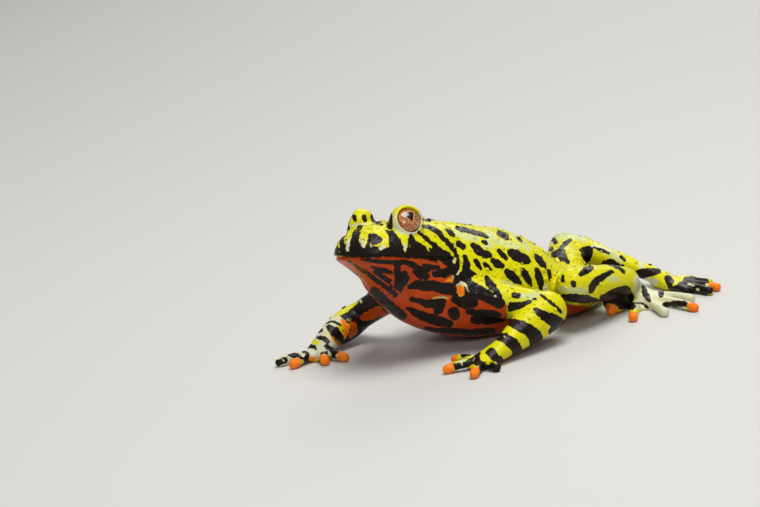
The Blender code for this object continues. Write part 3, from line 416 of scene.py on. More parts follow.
LEFT_LEG_MARKS = (
    (CREAM_AND_HIGHLIGHT, (640, 280, 6), (642, 292, 8), (652, 292, 9), (664, 297, 8), (676, 299, 7), (690, 299, 6)),
    (CREAM_AND_HIGHLIGHT, (640, 304, 6), (652, 306, 7), (664, 311, 7), (680, 306, 6)),
    (PALE_AND_SHEEN, (562, 289, 3), (572, 291, 3.4), (584, 291, 3)),
    (PALE_AND_SHEEN, (556, 265, 2.4), (564, 262, 2)),
    # Painted highlight on the near shank.
    (PALE_AND_SHEEN, (609, 279, 2), (616, 279, 2.6)),
    (ORANGE, (552, 304, 4), (562, 308, 5), (576, 311, 6), (590, 311, 6), (600, 309, 5)),
    # Black band along the near thigh's underside, partly painted shade where the thigh turns from the light.
    (BLACK_AND_SHADE, (554, 298.5, 2), (562, 297.5, 3.2), (574, 298, 4.4), (588, 300, 4.8), (600, 304, 4)),
    (BLACK_AND_SHADE, (556, 271, 1.8), (563, 267.5, 2.2), (570, 264, 1.8)),
    (BLACK_AND_SHADE, (581, 274, 2.4), (586, 270.5, 3.8), (591, 268.5, 2.6)),
    (BLACK_AND_SHADE, (563, 276, 1.5), (562.5, 281, 2.2)),
    (BLACK_AND_SHADE, (573, 283, 2.6), (573.6, 284.8, 2.6)),
    (BLACK_AND_SHADE, (591, 291, 2.8), (593, 285, 3.6), (598, 280, 3.8), (605, 275.5, 3), (612, 271.5, 1.8)),
    (BLACK_AND_SHADE, (603, 298, 3.4), (611, 296, 5.4), (619, 293, 6.4), (626, 290, 4.6), (629, 298, 5)),
    (BLACK_AND_SHADE, (604, 304, 4), (614, 304, 6), (626, 303, 6), (632, 306, 4)),
    (BLACK_AND_SHADE, (606, 262, 1.8), (613, 264, 2.6), (619, 268, 2.2), (624, 272, 1.6)),
    (BLACK_AND_SHADE, (649.5, 282, 1.8), (652, 284, 1.6)),
    (BLACK_AND_SHADE, (643.5, 287, 2), (645.5, 294, 3), (649, 300, 2.2)),
    (BLACK_AND_SHADE, (661.5, 289, 3.2), (661, 295, 2.6)),
    (BLACK_AND_SHADE, (636, 303, 1), (643, 303.5, 1.2), (648, 307.5, 1.2)),
    # Painted shade along the lower edge of the near foot.
    (BLACK_AND_SHADE, (664, 304.5, 1.8), (674, 303.8, 2.8), (684, 303.8, 2.8), (689, 305, 2.2)),
)
RIGHT_LEG_MARKS = (
    (PALE_AND_SHEEN, (549, 240, 4), (556, 235, 4), (566, 234, 4.4), (576, 235, 4.4), (584, 240, 3)),
    # Painted sheen on the far leg.
    (PALE_AND_SHEEN, (606, 250, 3), (614, 254, 5), (619, 262, 3)),
    (CREAM_AND_HIGHLIGHT, (593, 246, 2), (600, 248.5, 2.6), (608, 252, 2.4)),
    (CREAM_AND_HIGHLIGHT, (640, 262, 2), (646, 280, 4), (655, 282, 3)),
    (BLACK_AND_SHADE, (553.5, 239.5, 2.2), (555.5, 242.5, 2.2)),
    (BLACK_AND_SHADE, (551, 249, 2.6), (555, 254, 4), (561, 252, 4.6), (563, 258, 4.4), (568, 262, 3)),
    (YELLOW, (556.5, 248, 0.9), (557, 252, 0.9)),
    (BLACK_AND_SHADE, (561, 248, 2.4), (566, 243, 2.4), (571, 239.5, 1.6)),
    (BLACK_AND_SHADE, (583, 251, 3.6), (588, 251, 5), (586, 257, 5.6), (583, 262, 3.6)),
    (BLACK_AND_SHADE, (594, 247.5, 0.9), (602, 250, 1.6), (609, 253.5, 1)),
    (BLACK_AND_SHADE, (604, 263, 2.4), (612, 261.5, 2.8), (618, 265, 2.2)),
    (BLACK_AND_SHADE, (621, 257, 1.6), (624, 260, 1.6)),
    (BLACK_AND_SHADE, (632, 277, 3.4), (640, 274, 5), (649, 272.5, 4.4), (658, 271, 3)),
    (BLACK_AND_SHADE, (668, 278.5, 3.6), (671, 284, 4.2), (674, 289, 4)),
    (YELLOW, (673, 285, 1.4), (678, 281, 2.4), (684, 277.5, 2.4)),
    (BLACK_AND_SHADE, (682, 286, 5), (692, 284.5, 7), (701, 286, 6.4), (709, 289, 5)),
    (BLACK_AND_SHADE, (686, 279.5, 3), (698, 279.5, 3.4), (707, 282, 3)),
    (BLACK_AND_SHADE, (676, 292, 3), (690, 292, 5), (704, 292, 4)),
    # Painted highlights on the black of the far foot.
    (CREAM_AND_HIGHLIGHT, (688, 283.5, 1.3), (694, 286, 1.6)),
    (CREAM_AND_HIGHLIGHT, (697, 289.5, 1.6), (698, 290, 1.6)),
    (CREAM_AND_HIGHLIGHT, (706, 285, 1.6), (711, 286, 1.8)),
)
# Height of the orange underside's edge along the trunk, by photograph points down the left flank
BELLY_EDGE = ((452, 276), (462, 285), (470, 290), (480, 294), (490, 299), (500, 304), (511, 308), (530, 300),
              (552, 297))


def linear(hex_colour):
    """An sRGB hex colour as linear numbers."""
    channels = [int(hex_colour[start:start + 2], 16) / 255 for start in (1, 3, 5)]
    return [c / 12.92 if c <= 0.04045 else ((c + 0.055) / 1.055) ** 2.4 for c in channels]


def head_axes():
    """Unit vectors of the head: to its left, forward and up."""
    left = Vector((math.cos(HEAD_YAW), math.sin(HEAD_YAW), 0.0))
    level = Vector((math.sin(HEAD_YAW), -math.cos(HEAD_YAW), 0.0))
    forward = level * math.cos(HEAD_PITCH) + UP * math.sin(HEAD_PITCH)
    left = left * math.cos(HEAD_ROLL) + forward.cross(left) * math.sin(HEAD_ROLL)
    return left, forward, forward.cross(left)


def head_point(side, forward, up):
    """A place of the head's own frame as a place of the model."""
    left, ahead, over = head_axes()
    return HEAD_ORIGIN + left * side + ahead * forward + over * up


def gaze_of(side):
    """The way an eye looks, as a unit vector of the model."""
    left, forward, over = head_axes()
    return (left * GAZE.x * side + forward * GAZE.y + over * GAZE.z).normalized()


def eye_centre(side):
    """The centre of an eye, side +1 for the left."""
    drop = EYE_DROP_RIGHT if side < 0 else 0.0
    return head_point(EYE_SIDE * side, EYE_FORWARD, EYE_UP - drop)


def solids_shift():
    """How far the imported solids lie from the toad's own frame, by the centre of the left eye."""
    low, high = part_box("eye_left")
    return (Vector(low) + Vector(high)) / (2 * MM) - eye_centre(1)


SHIFT = solids_shift()


def between(values, position):
    """Smooth value at a position between evenly numbered values, by Catmull and Rom's curve."""
    last = len(values) - 1
    index = min(int(position), last - 1)
    share = position - index
    before = values[max(index - 1, 0)]
    start = values[index]
    end = values[index + 1]
    after = values[min(index + 2, last)]
    slope_in = (end - before) * 0.5
    slope_out = (after - start) * 0.5
    square = share * share
    cube = square * share
    return (
        start * (2 * cube - 3 * square + 1)
        + slope_in * (cube - 2 * square + share)
        + end * (3 * square - 2 * cube)
        + slope_out * (cube - square)
    )


def positions(count, steps):
    """Positions along a row of count values, with this many steps a span."""
    return [index / steps for index in range((count - 1) * steps + 1)]


def object_from(name, mesh_data):
    """A new object in the scene from a bmesh in the toad's frame."""
    bmesh.ops.translate(mesh_data, vec=SHIFT, verts=mesh_data.verts)
    bmesh.ops.scale(mesh_data, vec=(MM, MM, MM), verts=mesh_data.verts)
    bmesh.ops.recalc_face_normals(mesh_data, faces=mesh_data.faces)
    mesh = bpy.data.meshes.new(name)
    mesh_data.to_mesh(mesh)
    mesh_data.free()
    obj = bpy.data.objects.new(name, mesh)
    bpy.context.scene.collection.objects.link(obj)
    return obj


def add_rings(mesh_data, rings, start_pole, end_pole):
    """A closed body through rings of points, with a pole at each end."""
    layers = [[mesh_data.verts.new(point) for point in ring] for ring in rings]
    count = len(rings[0])
    for first, second in zip(layers, layers[1:]):
        for index in range(count):
            beside = (index + 1) % count
            mesh_data.faces.new((first[index], first[beside], second[beside], second[index]))
    for layer, pole in ((layers[0], start_pole), (layers[-1], end_pole)):
        tip = mesh_data.verts.new(pole)
        for index in range(count):
            mesh_data.faces.new((layer[index], layer[(index + 1) % count], tip))


def section_ring(centre, side_axis, up_axis, half_width, height, depth, step=0.0, crown=1.0, belly=1.0):
    """One section of head or torso. The lower half is narrower by the lip's step, and a fullness under 1
    makes the crown or the belly squarer."""
    ring = []
    for index in range(RING_POINTS):
        angle = math.tau * index / RING_POINTS
        across, rise = math.cos(angle), math.sin(angle)
        lower = rise < -0.01
        fullness = belly if lower else crown
        width = half_width - step if lower else half_width
        across = math.copysign(width * abs(across) ** fullness, across)
        rise = math.copysign((depth if lower else height) * abs(rise) ** fullness, rise)
        ring.append(centre + side_axis * across + up_axis * rise)
    return ring


def add_head(mesh_data):
    """The head from snout to neck, its two halves meeting along the mouth line."""
    left, forward, over = head_axes()
    rings = []
    for position in positions(len(HEAD_SECTIONS), 3):
        ahead, half_width, height, depth = (
            between([section[column] for section in HEAD_SECTIONS], position) for column in range(4)
        )
        step = LIP_STEP * min(max(ahead, 0.0) / 3.0, 1.0) * min(half_width / 4.0, 1.0)
        rings.append(section_ring(head_point(0, ahead, 0), left, over, half_width, height, depth, step,
                                  CROWN_FULLNESS))
    tip = head_point(0, SNOUT_LENGTH + 0.15, 0.2)
    neck = head_point(0, HEAD_SECTIONS[-1][0] - 0.5, 0)
    add_rings(mesh_data, rings, tip, neck)


def add_torso(mesh_data):
    """The torso from inside the neck to the vent."""
    rings = []
    columns = list(zip(*TORSO_SECTIONS))
    for position in positions(len(TORSO_SECTIONS), 3):
        back, middle, half_width, top, bottom, belly = (between(column, position) for column in columns)
        ahead = between(columns[1], max(position - 0.5, 0)) - between(columns[1], position)
        run = between(columns[0], position) - between(columns[0], max(position - 0.5, 0))
        lean = math.atan2(-ahead, run) if run else 0.0
        side_axis = Vector((math.cos(lean), -math.sin(lean), 0.0))
        widest = bottom + (top - bottom) * WIDEST_HEIGHT
        centre = Vector((middle, back, widest))
        rings.append(section_ring(centre, side_axis, UP, half_width, top - widest, widest - bottom,
                                  belly=belly))
    y, x, _, top, bottom, _ = TORSO_SECTIONS[0]
    start = Vector((x, y - 0.5, (top + bottom) / 2))
    y, x, _, top, bottom, _ = TORSO_SECTIONS[-1]
    add_rings(mesh_data, rings, start, Vector((x, y + 0.4, (top + bottom) / 2)))


def add_tube(mesh_data, points, widths, heights=None):
    """A limb along a smooth path with rounded ends. Widths lie level and heights stand across the path."""
    heights = heights or widths
    path = []
    for position in positions(len(points), STEPS_PER_SPAN):
        share = position / (len(points) - 1)
        width = between(widths, share * (len(widths) - 1))
        height = between(heights, share * (len(heights) - 1))
        path.append((between(points, position), width, height))
    tangents = []
    for index in range(len(path)):
        before = path[max(index - 1, 0)][0]
        after = path[min(index + 1, len(path) - 1)][0]
        tangents.append((after - before).normalized())
    cap_angles = [math.radians(angle) for angle in (75, 55, 30)]
    stations = []
    for angle in cap_angles:
        centre, width, height = path[0]
        stations.append((centre - tangents[0] * (width * math.sin(angle)), tangents[0],
                         width * math.cos(angle), height * math.cos(angle)))
    for (centre, width, height), tangent in zip(path, tangents):
        stations.append((centre, tangent, width, height))
    for angle in reversed(cap_angles):
        centre, width, height = path[-1]
        stations.append((centre + tangents[-1] * (width * math.sin(angle)), tangents[-1],
                         width * math.cos(angle), height * math.cos(angle)))
    rings = []
    for centre, tangent, width, height in stations:
        side_axis = tangent.cross(UP).normalized()
        up_axis = side_axis.cross(tangent).normalized()
        ring = []
        for index in range(LIMB_POINTS):
            angle = math.tau * index / LIMB_POINTS
            ring.append(centre + side_axis * (width * math.cos(angle)) + up_axis * (height * math.sin(angle)))
        rings.append(ring)
    start = path[0][0] - tangents[0] * path[0][1]
    end = path[-1][0] + tangents[-1] * path[-1][1]
    add_rings(mesh_data, rings, start, end)


def add_ball(mesh_data, centre, radius, segments=24):
    """A plain ball."""
    place = Matrix.Translation(centre)
    bmesh.ops.create_uvsphere(mesh_data, u_segments=segments, v_segments=segments // 2, radius=radius,
                              matrix=place)


def add_lens(mesh_data, centre, way, radius, half_depth, segments=32):
    """A ball flattened along a way."""
    turn = way.to_track_quat("Z", "Y").to_matrix().to_4x4()
    squash = Matrix.Diagonal((1.0, 1.0, half_depth / radius, 1.0))
    bmesh.ops.create_uvsphere(mesh_data, u_segments=segments, v_segments=segments // 2, radius=radius,
                              matrix=Matrix.Translation(centre) @ turn @ squash)


def eye_frame(side):
    """Where an eye sits and its own axes: level across its face, upright on it, and the way it looks."""
    gaze = gaze_of(side)
    level = gaze.cross(UP).normalized()
    return eye_centre(side), level, level.cross(gaze), gaze


def add_lid_rim(mesh_data, side):
    """The fleshy rim of an eye's lids, a ring round the way the eye looks."""
    middle, level, upright, gaze = eye_frame(side)
    centre = middle + gaze * LID_RIM_FORWARD + head_axes()[2] * LID_RIM_RAISE
    layers = []
    for step in range(LIMB_POINTS * 2):
        turn = math.tau * step / (LIMB_POINTS * 2)
        outward = level * math.cos(turn) + upright * math.sin(turn)
        layer = []
        for index in range(LIMB_POINTS // 2):
            angle = math.tau * index / (LIMB_POINTS // 2)
            reach = LID_RIM_RADIUS + LID_RIM_THICKNESS * math.cos(angle)
            rise = LID_RIM_THICKNESS * math.sin(angle)
            layer.append(mesh_data.verts.new(centre + outward * reach + gaze * rise))
        layers.append(layer)
    for first, second in zip(layers, layers[1:] + layers[:1]):
        for index in range(len(first)):
            beside = (index + 1) % len(first)
            mesh_data.faces.new((first[index], first[beside], second[beside], second[index]))


def add_arm(mesh_data, joints, tips, upper_arm_radii, forearm_radii):
    """Upper arm, forearm, palm and four fingers of one fore leg."""
    shoulder, elbow, wrist, palm = joints
    add_tube(mesh_data, (shoulder, (shoulder + elbow) / 2, elbow), upper_arm_radii)
    add_tube(mesh_data, (elbow, elbow.lerp(wrist, 0.35), elbow.lerp(wrist, 0.7), wrist), forearm_radii)
    add_tube(mesh_data, (wrist, palm), (forearm_radii[-1], PALM_HALF_WIDTH),
             (forearm_radii[-1], PALM_HALF_HEIGHT))
    for tip in tips:
        rest = Vector((tip.x, tip.y, FINGER_TIP_RADIUS - FLOOR_SINK))
        middle = palm.lerp(rest, 0.62) + UP * 0.25
        add_tube(mesh_data, (palm, palm.lerp(rest, 0.25), middle, rest),
                 (FINGER_RADIUS + 0.2, FINGER_RADIUS + 0.1, FINGER_RADIUS, FINGER_TIP_RADIUS))


def add_web(mesh_data, foot, first, second):
    """The thin web between two toes, its free edge dipping back."""
    rim = [foot.lerp(first, share) for share in (0.0, WEB_REACH * 0.5, WEB_REACH)]
    ends = (foot.lerp(first, WEB_REACH), foot.lerp(second, WEB_REACH))
    for share in (0.2, 0.4, 0.6, 0.8):
        dip = WEB_DIP * math.sin(math.pi * share)
        rim.append(ends[0].lerp(ends[1], share).lerp(foot, dip * 0.6))
    rim += [foot.lerp(second, share) for share in (WEB_REACH, WEB_REACH * 0.5)]
    low = [mesh_data.verts.new((point.x, point.y, -FLOOR_SINK)) for point in rim]
    high = [mesh_data.verts.new((point.x, point.y, WEB_THICKNESS)) for point in rim]
    mesh_data.faces.new(reversed(low))
    mesh_data.faces.new(high)
    for index in range(len(rim)):
        beside = (index + 1) % len(rim)
        mesh_data.faces.new((low[index], low[beside], high[beside], high[index]))


def add_leg(mesh_data, joints, tips, thigh_radii, shank_radii, tarsus_radii):
    """Thigh, shank, tarsus, foot and five webbed toes of one hind leg."""
    hip, knee, ankle, foot = joints
    add_tube(mesh_data, (hip, hip.lerp(knee, 0.35), hip.lerp(knee, 0.7), knee), thigh_radii)
    add_tube(mesh_data, (knee, knee.lerp(ankle, 0.35), knee.lerp(ankle, 0.7), ankle), shank_radii)
    add_tube(mesh_data, (ankle, (ankle + foot) / 2, foot), tarsus_radii)
    heel = Vector((foot.x, foot.y, FOOT_HALF_HEIGHT - FLOOR_SINK))
    middle_tip = (tips[2] + tips[3]) / 2
    ball_of_foot = heel.lerp(Vector((middle_tip.x, middle_tip.y, heel.z)), 0.3)
    add_tube(mesh_data, (foot, ball_of_foot), (tarsus_radii[-1], FOOT_HALF_WIDTH),
             (tarsus_radii[-1], FOOT_HALF_HEIGHT))
    for tip in tips:
        rest = Vector((tip.x, tip.y, TOE_TIP_RADIUS - FLOOR_SINK))
        middle = heel.lerp(rest, 0.6) + UP * 0.2
        add_tube(mesh_data, (heel, heel.lerp(rest, 0.25), middle, rest),
                 (TOE_RADIUS + 0.2, TOE_RADIUS + 0.1, TOE_RADIUS, TOE_TIP_RADIUS))
    for first, second in zip(tips, tips[1:]):
        add_web(mesh_data, heel, first, second)


def evaluated_mesh(obj):
    """The object's mesh as its modifiers leave it."""
    graph = bpy.context.evaluated_depsgraph_get()
    return bpy.data.meshes.new_from_object(obj.evaluated_get(graph))


def modified(obj):
    """Turn an object's modifiers into its mesh."""
    mesh = evaluated_mesh(obj)
    obj.modifiers.clear()
    obj.data = mesh


def cut_away(obj, cutters):
    """Cut an object with one helper object of closed shapes, and remove the helper."""
    modifier = obj.modifiers.new("cut", "BOOLEAN")
    modifier.operation = "DIFFERENCE"
    modifier.object = cutters
    modifier.solver = "EXACT"
    modified(obj)
    bpy.data.objects.remove(cutters)


def places_of(mesh):
    """The mesh's vertices in the toad's own frame, as rows."""
    flat = np.empty(len(mesh.vertices) * 3)
    mesh.vertices.foreach_get("co", flat)
    return flat.reshape(-1, 3) / MM - np.array(SHIFT)


def normals_of(mesh):
    """The mesh's vertex normals as rows."""
    flat = np.empty(len(mesh.vertices) * 3)
    mesh.vertices.foreach_get("normal", flat)
    return flat.reshape(-1, 3)


def tree_of(mesh, kept=None):
    """A tree for ray casts in the toad's own frame, of all faces or of those whose vertices are all kept."""
    points = [tuple(point) for point in places_of(mesh)]
    faces = [tuple(polygon.vertices) for polygon in mesh.polygons]
    if kept is not None:
        faces = [face for face in faces if all(kept[vertex] for vertex in face)]
    return BVHTree.FromPolygons(points, faces)


def mouth_line(tree):
    """Points on the skin along the line of the mouth, from corner to corner."""
    left, forward, _ = head_axes()
    hub = head_point(0, 5.0, 0)
    reach = math.atan2(JAW_HALF_WIDTH, MOUTH_CORNER - 5.0)
    count = 60
    line = []
    for index in range(count + 1):
        angle = -reach + 2 * reach * index / count
        outward = forward * math.cos(angle) + left * math.sin(angle)
        line.append(tree.ray_cast(hub + outward * 30.0, -outward)[0])
    return line


def add_eye_opening(mesh_data, side, radius, half_depth, opening):
    """The hollow for one eyeball and the flared opening between its lids."""
    centre, level, upright, gaze = eye_frame(side)
    add_lens(mesh_data, centre, gaze, radius - 0.05, half_depth - 0.05, 48)
    rings = []
    for along, reach in ((0.3, opening * 0.8), (0.8, opening * 0.97), (1.15, opening), (1.45, opening * 1.06),
                         (2.6, opening * 1.15)):
        ring = []
        for index in range(RING_POINTS):
            turn = math.tau * index / RING_POINTS
            ring.append(centre + gaze * along + (level * math.cos(turn) + upright * math.sin(turn)) * reach)
        rings.append(ring)
    add_rings(mesh_data, rings, centre + gaze * 0.3, centre + gaze * 2.6)


def colour_property(name, description, hex_colour):
    """A colour setting whose default is given as an sRGB hex colour."""
    return bpy.props.FloatVectorProperty(name=name, description=description, subtype="COLOR", size=3, min=0.0,
                                         max=1.0, default=linear(hex_colour))


class ToadSkinSettings(bpy.types.PropertyGroup):
    """Sizes and colours of the skin."""

    grid: bpy.props.FloatProperty(name="Grid", description="Spacing of the skin's mesh", default=0.3 * MM,
                                  min=0.2 * MM, max=1.0 * MM, unit="LENGTH", precision=5)
    rounding: bpy.props.IntProperty(name="Rounding", description="Smoothing passes where limbs meet the body",
                                    default=5, min=0, max=20)
    seed: bpy.props.IntProperty(name="Seed", description="Another seed moves the blotches of the far side",
                                default=11)
    yellow: colour_property("Yellow", "Back and limbs", "#E6DE06")
    yellow_deep: colour_property("Deep yellow", "Duller yellow between", "#CBC302")
    # Black is the skin's own blotches and also painted shade on the undersides of chest, far arm, near thigh and
    # near foot.
    black: colour_property("Black", "Blotches and bars", "#100A06")
    black_warm: colour_property("Warm black", "Browner parts of the blotches", "#21150D")
    # Pale yellow and pale green are partly the skin's own paler yellow and partly painted sheen, where the wet back
    # and legs mirror the sky.
    pale: colour_property("Pale yellow", "Bleached patches of the back and legs", "#DADF8C")
    pale_green: colour_property("Pale green", "Greener parts of the bleached patches", "#B4BC80")
    orange: colour_property("Orange", "Throat, belly and inner limbs", "#DC5808")
    orange_deep: colour_property("Deep orange", "Redder parts of the throat and belly", "#A42C02")
    tip: colour_property("Tips", "Finger and toe tips", "#FF8E1E")
    tip_deep: colour_property("Deep tips", "Redder parts of the tips", "#F6720F")
    # Cream is the skin's own pale marks and also painted highlights on skin folds, a forearm band and the far foot.
    cream: colour_property("Cream", "Palest parts of bars, hands and lids", "#EFE6A8")
    cream_grey: colour_property("Grey cream", "Bluer parts of the pale marks", "#B9BDB0")


class ToadEyeSettings(bpy.types.PropertyGroup):
    """Sizes and colours of the eyes."""

    radius: bpy.props.FloatProperty(name="Radius", description="Radius of an eyeball", default=2.2 * MM,
                                    min=1.8 * MM, max=2.3 * MM, unit="LENGTH", precision=5)
    half_depth: bpy.props.FloatProperty(name="Half depth", description="Half its size along its gaze",
                                        default=1.76 * MM, min=1.4 * MM, max=2.2 * MM, unit="LENGTH",
                                        precision=5)
    opening: bpy.props.FloatProperty(name="Opening", description="Radius between the lids",
                                     default=1.98 * MM, min=1.0 * MM, max=2.1 * MM, unit="LENGTH",
                                     precision=5)
    iris: colour_property("Iris", "Copper of the iris", "#9A5024")
    iris_dark: colour_property("Dark iris", "Iris near its edge", "#4E2412")
    gold: colour_property("Gold", "Flecks of the iris", "#D99A62")
    pupil: colour_property("Pupil", "Black of the pupil", "#050404")


class ToadWartSettings(bpy.types.PropertyGroup):
    """Sizes of the warts."""

    spacing: bpy.props.FloatProperty(name="Spacing", description="Least distance between warts",
                                     default=1.0 * MM, unit="LENGTH", precision=5)
    radius: bpy.props.FloatProperty(name="Radius", description="Radius of a middling wart",
                                    default=0.27 * MM, unit="LENGTH", precision=5)
    seed: bpy.props.IntProperty(name="Seed", description="Another seed scatters them another way", default=7)


class ToadStageSettings(bpy.types.PropertyGroup):
    """Floor and light."""

    floor: colour_property("Floor", "Colour of the floor", "#CDCAC3")
    key_light: bpy.props.FloatProperty(name="Key light", description="Strength of the largest light",
                                       default=1.0, min=0.0)


def bone_distance(points, start, end, radius):
    """How far rows of points lie outside a straight round bone."""
    along = np.array(end - start)
    offset = points - np.array(start)
    share = np.clip(offset @ along / (along @ along), 0.0, 1.0)
    return np.linalg.norm(offset - share[:, None] * along, axis=1) - radius


def limb_regions(points):
    """For each limb, which rows of points belong to it."""
    limbs = {}
    for name, joints, tips, root in (
        ("arm_left", (SHOULDER_LEFT, ELBOW_LEFT, WRIST_LEFT, PALM_LEFT), FINGER_TIPS_LEFT, 0.7),
        ("arm_right", (SHOULDER_RIGHT, ELBOW_RIGHT, WRIST_RIGHT, PALM_RIGHT), FINGER_TIPS_RIGHT, 0.4),
        ("leg_left", (HIP_LEFT, KNEE_LEFT, ANKLE_LEFT, FOOT_LEFT), TOE_TIPS_LEFT, 0.5),
        ("leg_right", (HIP_RIGHT, KNEE_RIGHT, ANKLE_RIGHT, FOOT_RIGHT), TOE_TIPS_RIGHT, 0.4),
    ):
        joints = (joints[0].lerp(joints[1], root),) + joints[1:]
        radius = 2.6 if name.startswith("arm") else 2.9
        nearest = np.full(len(points), 99.0)
        for start, end in zip(joints, joints[1:]):
            nearest = np.minimum(nearest, bone_distance(points, start, end, radius))
        for tip in tips:
            nearest = np.minimum(nearest, bone_distance(points, joints[-1], tip, 1.2))
            nearest = np.minimum(nearest, bone_distance(points, (joints[-1] + tips[2]) / 2, tip, 1.6))
        limbs[name] = nearest
    names = list(limbs)
    rows = np.array([limbs[name] for name in names])
    first = rows.argmin(axis=0)
    near = rows.min(axis=0) < LIMB_REACH
    return {name: (first == index) & near for index, name in enumerate(names)}


def photo_rows(points):
    """Rows of points as photograph pixels across and down, and depth from the camera in millimetres."""
    right, up, ahead = (np.array(axis) for axis in camera_axes())
    offset = points - np.array(camera_place())
    depth = offset @ ahead
    across = PHOTO_WIDTH / 2 + FOCAL_PIXELS * (offset @ right) / depth
    down = PHOTO_HEIGHT / 2 - FOCAL_PIXELS * (offset @ up) / depth
    return np.stack((across, down, depth), axis=1)


def sight_line(across, down):
    """The direction from the camera through a photograph pixel."""
    right, up, ahead = camera_axes()
    line = (ahead * FOCAL_PIXELS + right * (across - PHOTO_WIDTH / 2) + up * (PHOTO_HEIGHT / 2 - down))
    return line.normalized()


def depth_at(across, down, tree, rows):
    """Depth of the surface behind a pixel, or of the nearest of the rows where the line misses it."""
    hit = tree.ray_cast(camera_place(), sight_line(across, down))[0]
    if hit is not None:
        return (hit - camera_place()).dot(camera_axes()[2])
    gaps = np.hypot(rows[:, 0] - across, rows[:, 1] - down)
    close = rows[gaps < gaps.min() + 1.0]
    return close[:, 2].min()


def stroke_distance(view, points):
    """How far each row of the flattened view lies outside a tapering stroke, negative inside it."""
    nearest = np.full(len(view), 99.0)
    for start, end in zip(points, points[1:]):
        along = np.array(end[:3]) - np.array(start[:3])
        offset = view - np.array(start[:3])
        share = np.clip(offset @ along / max(along @ along, 1e-9), 0.0, 1.0)
        gap = np.linalg.norm(offset - share[:, None] * along, axis=1)
        nearest = np.minimum(nearest, gap - (start[3] + (end[3] - start[3]) * share))
    return nearest


def lay_marks(marks, members, rows, tree, depth_share, fields, spread=0.0):
    """Lay strokes over one region, the black ones wider by a spread in pixels. The fields hold millimetres
    outside each paint, negative inside."""
    view = rows[members] * np.array((1.0, 1.0, 0.0)) / PIXELS_PER_MM
    view[:, 2] = rows[members, 2] * depth_share
    for paint, *stroke in marks:
        points = []
        for across, down, half_width in stroke:
            if paint == BLACK_AND_SHADE:
                half_width += spread
            depth = depth_at(across, down, tree, rows[members])
            points.append((across / PIXELS_PER_MM, down / PIXELS_PER_MM, depth * depth_share,
                           half_width / PIXELS_PER_MM))
        distance = stroke_distance(view, points)
        for name, field in fields.items():
            if name == paint:
                field[members] = np.minimum(field[members], distance)
            elif paint != BLACK_AND_SHADE:
                kept_rim = BLACK_RIM if name == BLACK_AND_SHADE else 0.0
                field[members] = np.maximum(field[members], -distance - kept_rim)


def seen_share(points, normals, tree, members):
    """How plainly the camera sees each point: 1 where it faces the camera, 0 where it is hidden."""
    eye = np.array(camera_place())
    toward = eye - points
    toward /= np.linalg.norm(toward, axis=1)[:, None]
    facing = np.clip(((normals * toward).sum(axis=1) - 0.08) / 0.27, 0.0, 1.0)
    share = facing * members
    for index in np.flatnonzero(share > 0):
        start = Vector(points[index] + normals[index] * 0.1)
        if tree.ray_cast(start, Vector(toward[index]), 400.0)[0] is not None:
            share[index] = 0.0
    return share


def spread_out(choices, points, spacing, rng):
    """Some of the chosen points, in a seeded order, none nearer to another than the spacing."""
    kept = []
    for index in rng.permutation(choices):
        if all(np.linalg.norm(points[index] - points[other]) > spacing for other in kept):
            kept.append(index)
    return kept


def scattered_blotches(points, normals, choices, spacing, radii, stretch, along, rng):
    """Millimetres outside seeded oval blotches that lie on the skin with their length along a direction."""
    nearest = np.full(len(points), 99.0)
    for centre in spread_out(choices, points, spacing, rng):
        normal = normals[centre]
        heading = np.array(along, float) if along else rng.normal(size=3)
        heading = heading + rng.normal(size=3) * 0.25
        heading -= normal * (heading @ normal)
        heading /= np.linalg.norm(heading)
        offset = points - points[centre]
        lengthways = offset @ heading
        rise = offset @ normal
        total = (offset ** 2).sum(axis=1)
        length = rng.uniform(*stretch)
        gap = np.sqrt(np.maximum(total - lengthways ** 2 * (1 - 1 / length ** 2) - rise ** 2 * 0.5, 0.0))
        nearest = np.minimum(nearest, gap - rng.uniform(*radii))
    return nearest


def underside_field(points, normals, limb_members, tree):
    """Millimetres above the orange underside's edge: the line of the mouth on the head, a line down the
    flank on the trunk, and what faces down on the limbs."""
    left, forward, over = (np.array(axis) for axis in head_axes())
    offset = points - np.array(HEAD_ORIGIN)
    above_mouth = offset @ over - 0.25
    edge = []
    for across, down in BELLY_EDGE:
        hit = tree.ray_cast(camera_place(), sight_line(across, down))[0]
        if hit is not None:
            edge.append((hit.y, hit.z))
    edge.sort()
    backs, heights = zip(*edge)
    above_edge = points[:, 2] - np.interp(points[:, 1], backs, heights)
    share = np.clip((offset @ forward + 1.5) / 3.0, 0.0, 1.0)
    field = above_mouth * share + above_edge * (1.0 - share)
    below = (normals[:, 2] + 0.85) * 3.0
    return np.where(limb_members, np.maximum(field, below) * 0.5 + below * 0.5, field)


def store(mesh, name, values):
    """Keep one number for each vertex."""
    attribute = mesh.attributes.new(name, "FLOAT", "POINT")
    attribute.data.foreach_set("value", values.astype(np.float32))


def node_in(tree, kind, settings=None, values=None, links=None):
    """Add a node with its settings, and its inputs as values or as sockets to link."""
    node = tree.nodes.new(kind)
    for name, value in (settings or {}).items():
        setattr(node, name, value)
    for key, value in (values or {}).items():
        node.inputs[key].default_value = value
    for key, socket in (links or {}).items():
        tree.links.new(socket, node.inputs[key])
    return node


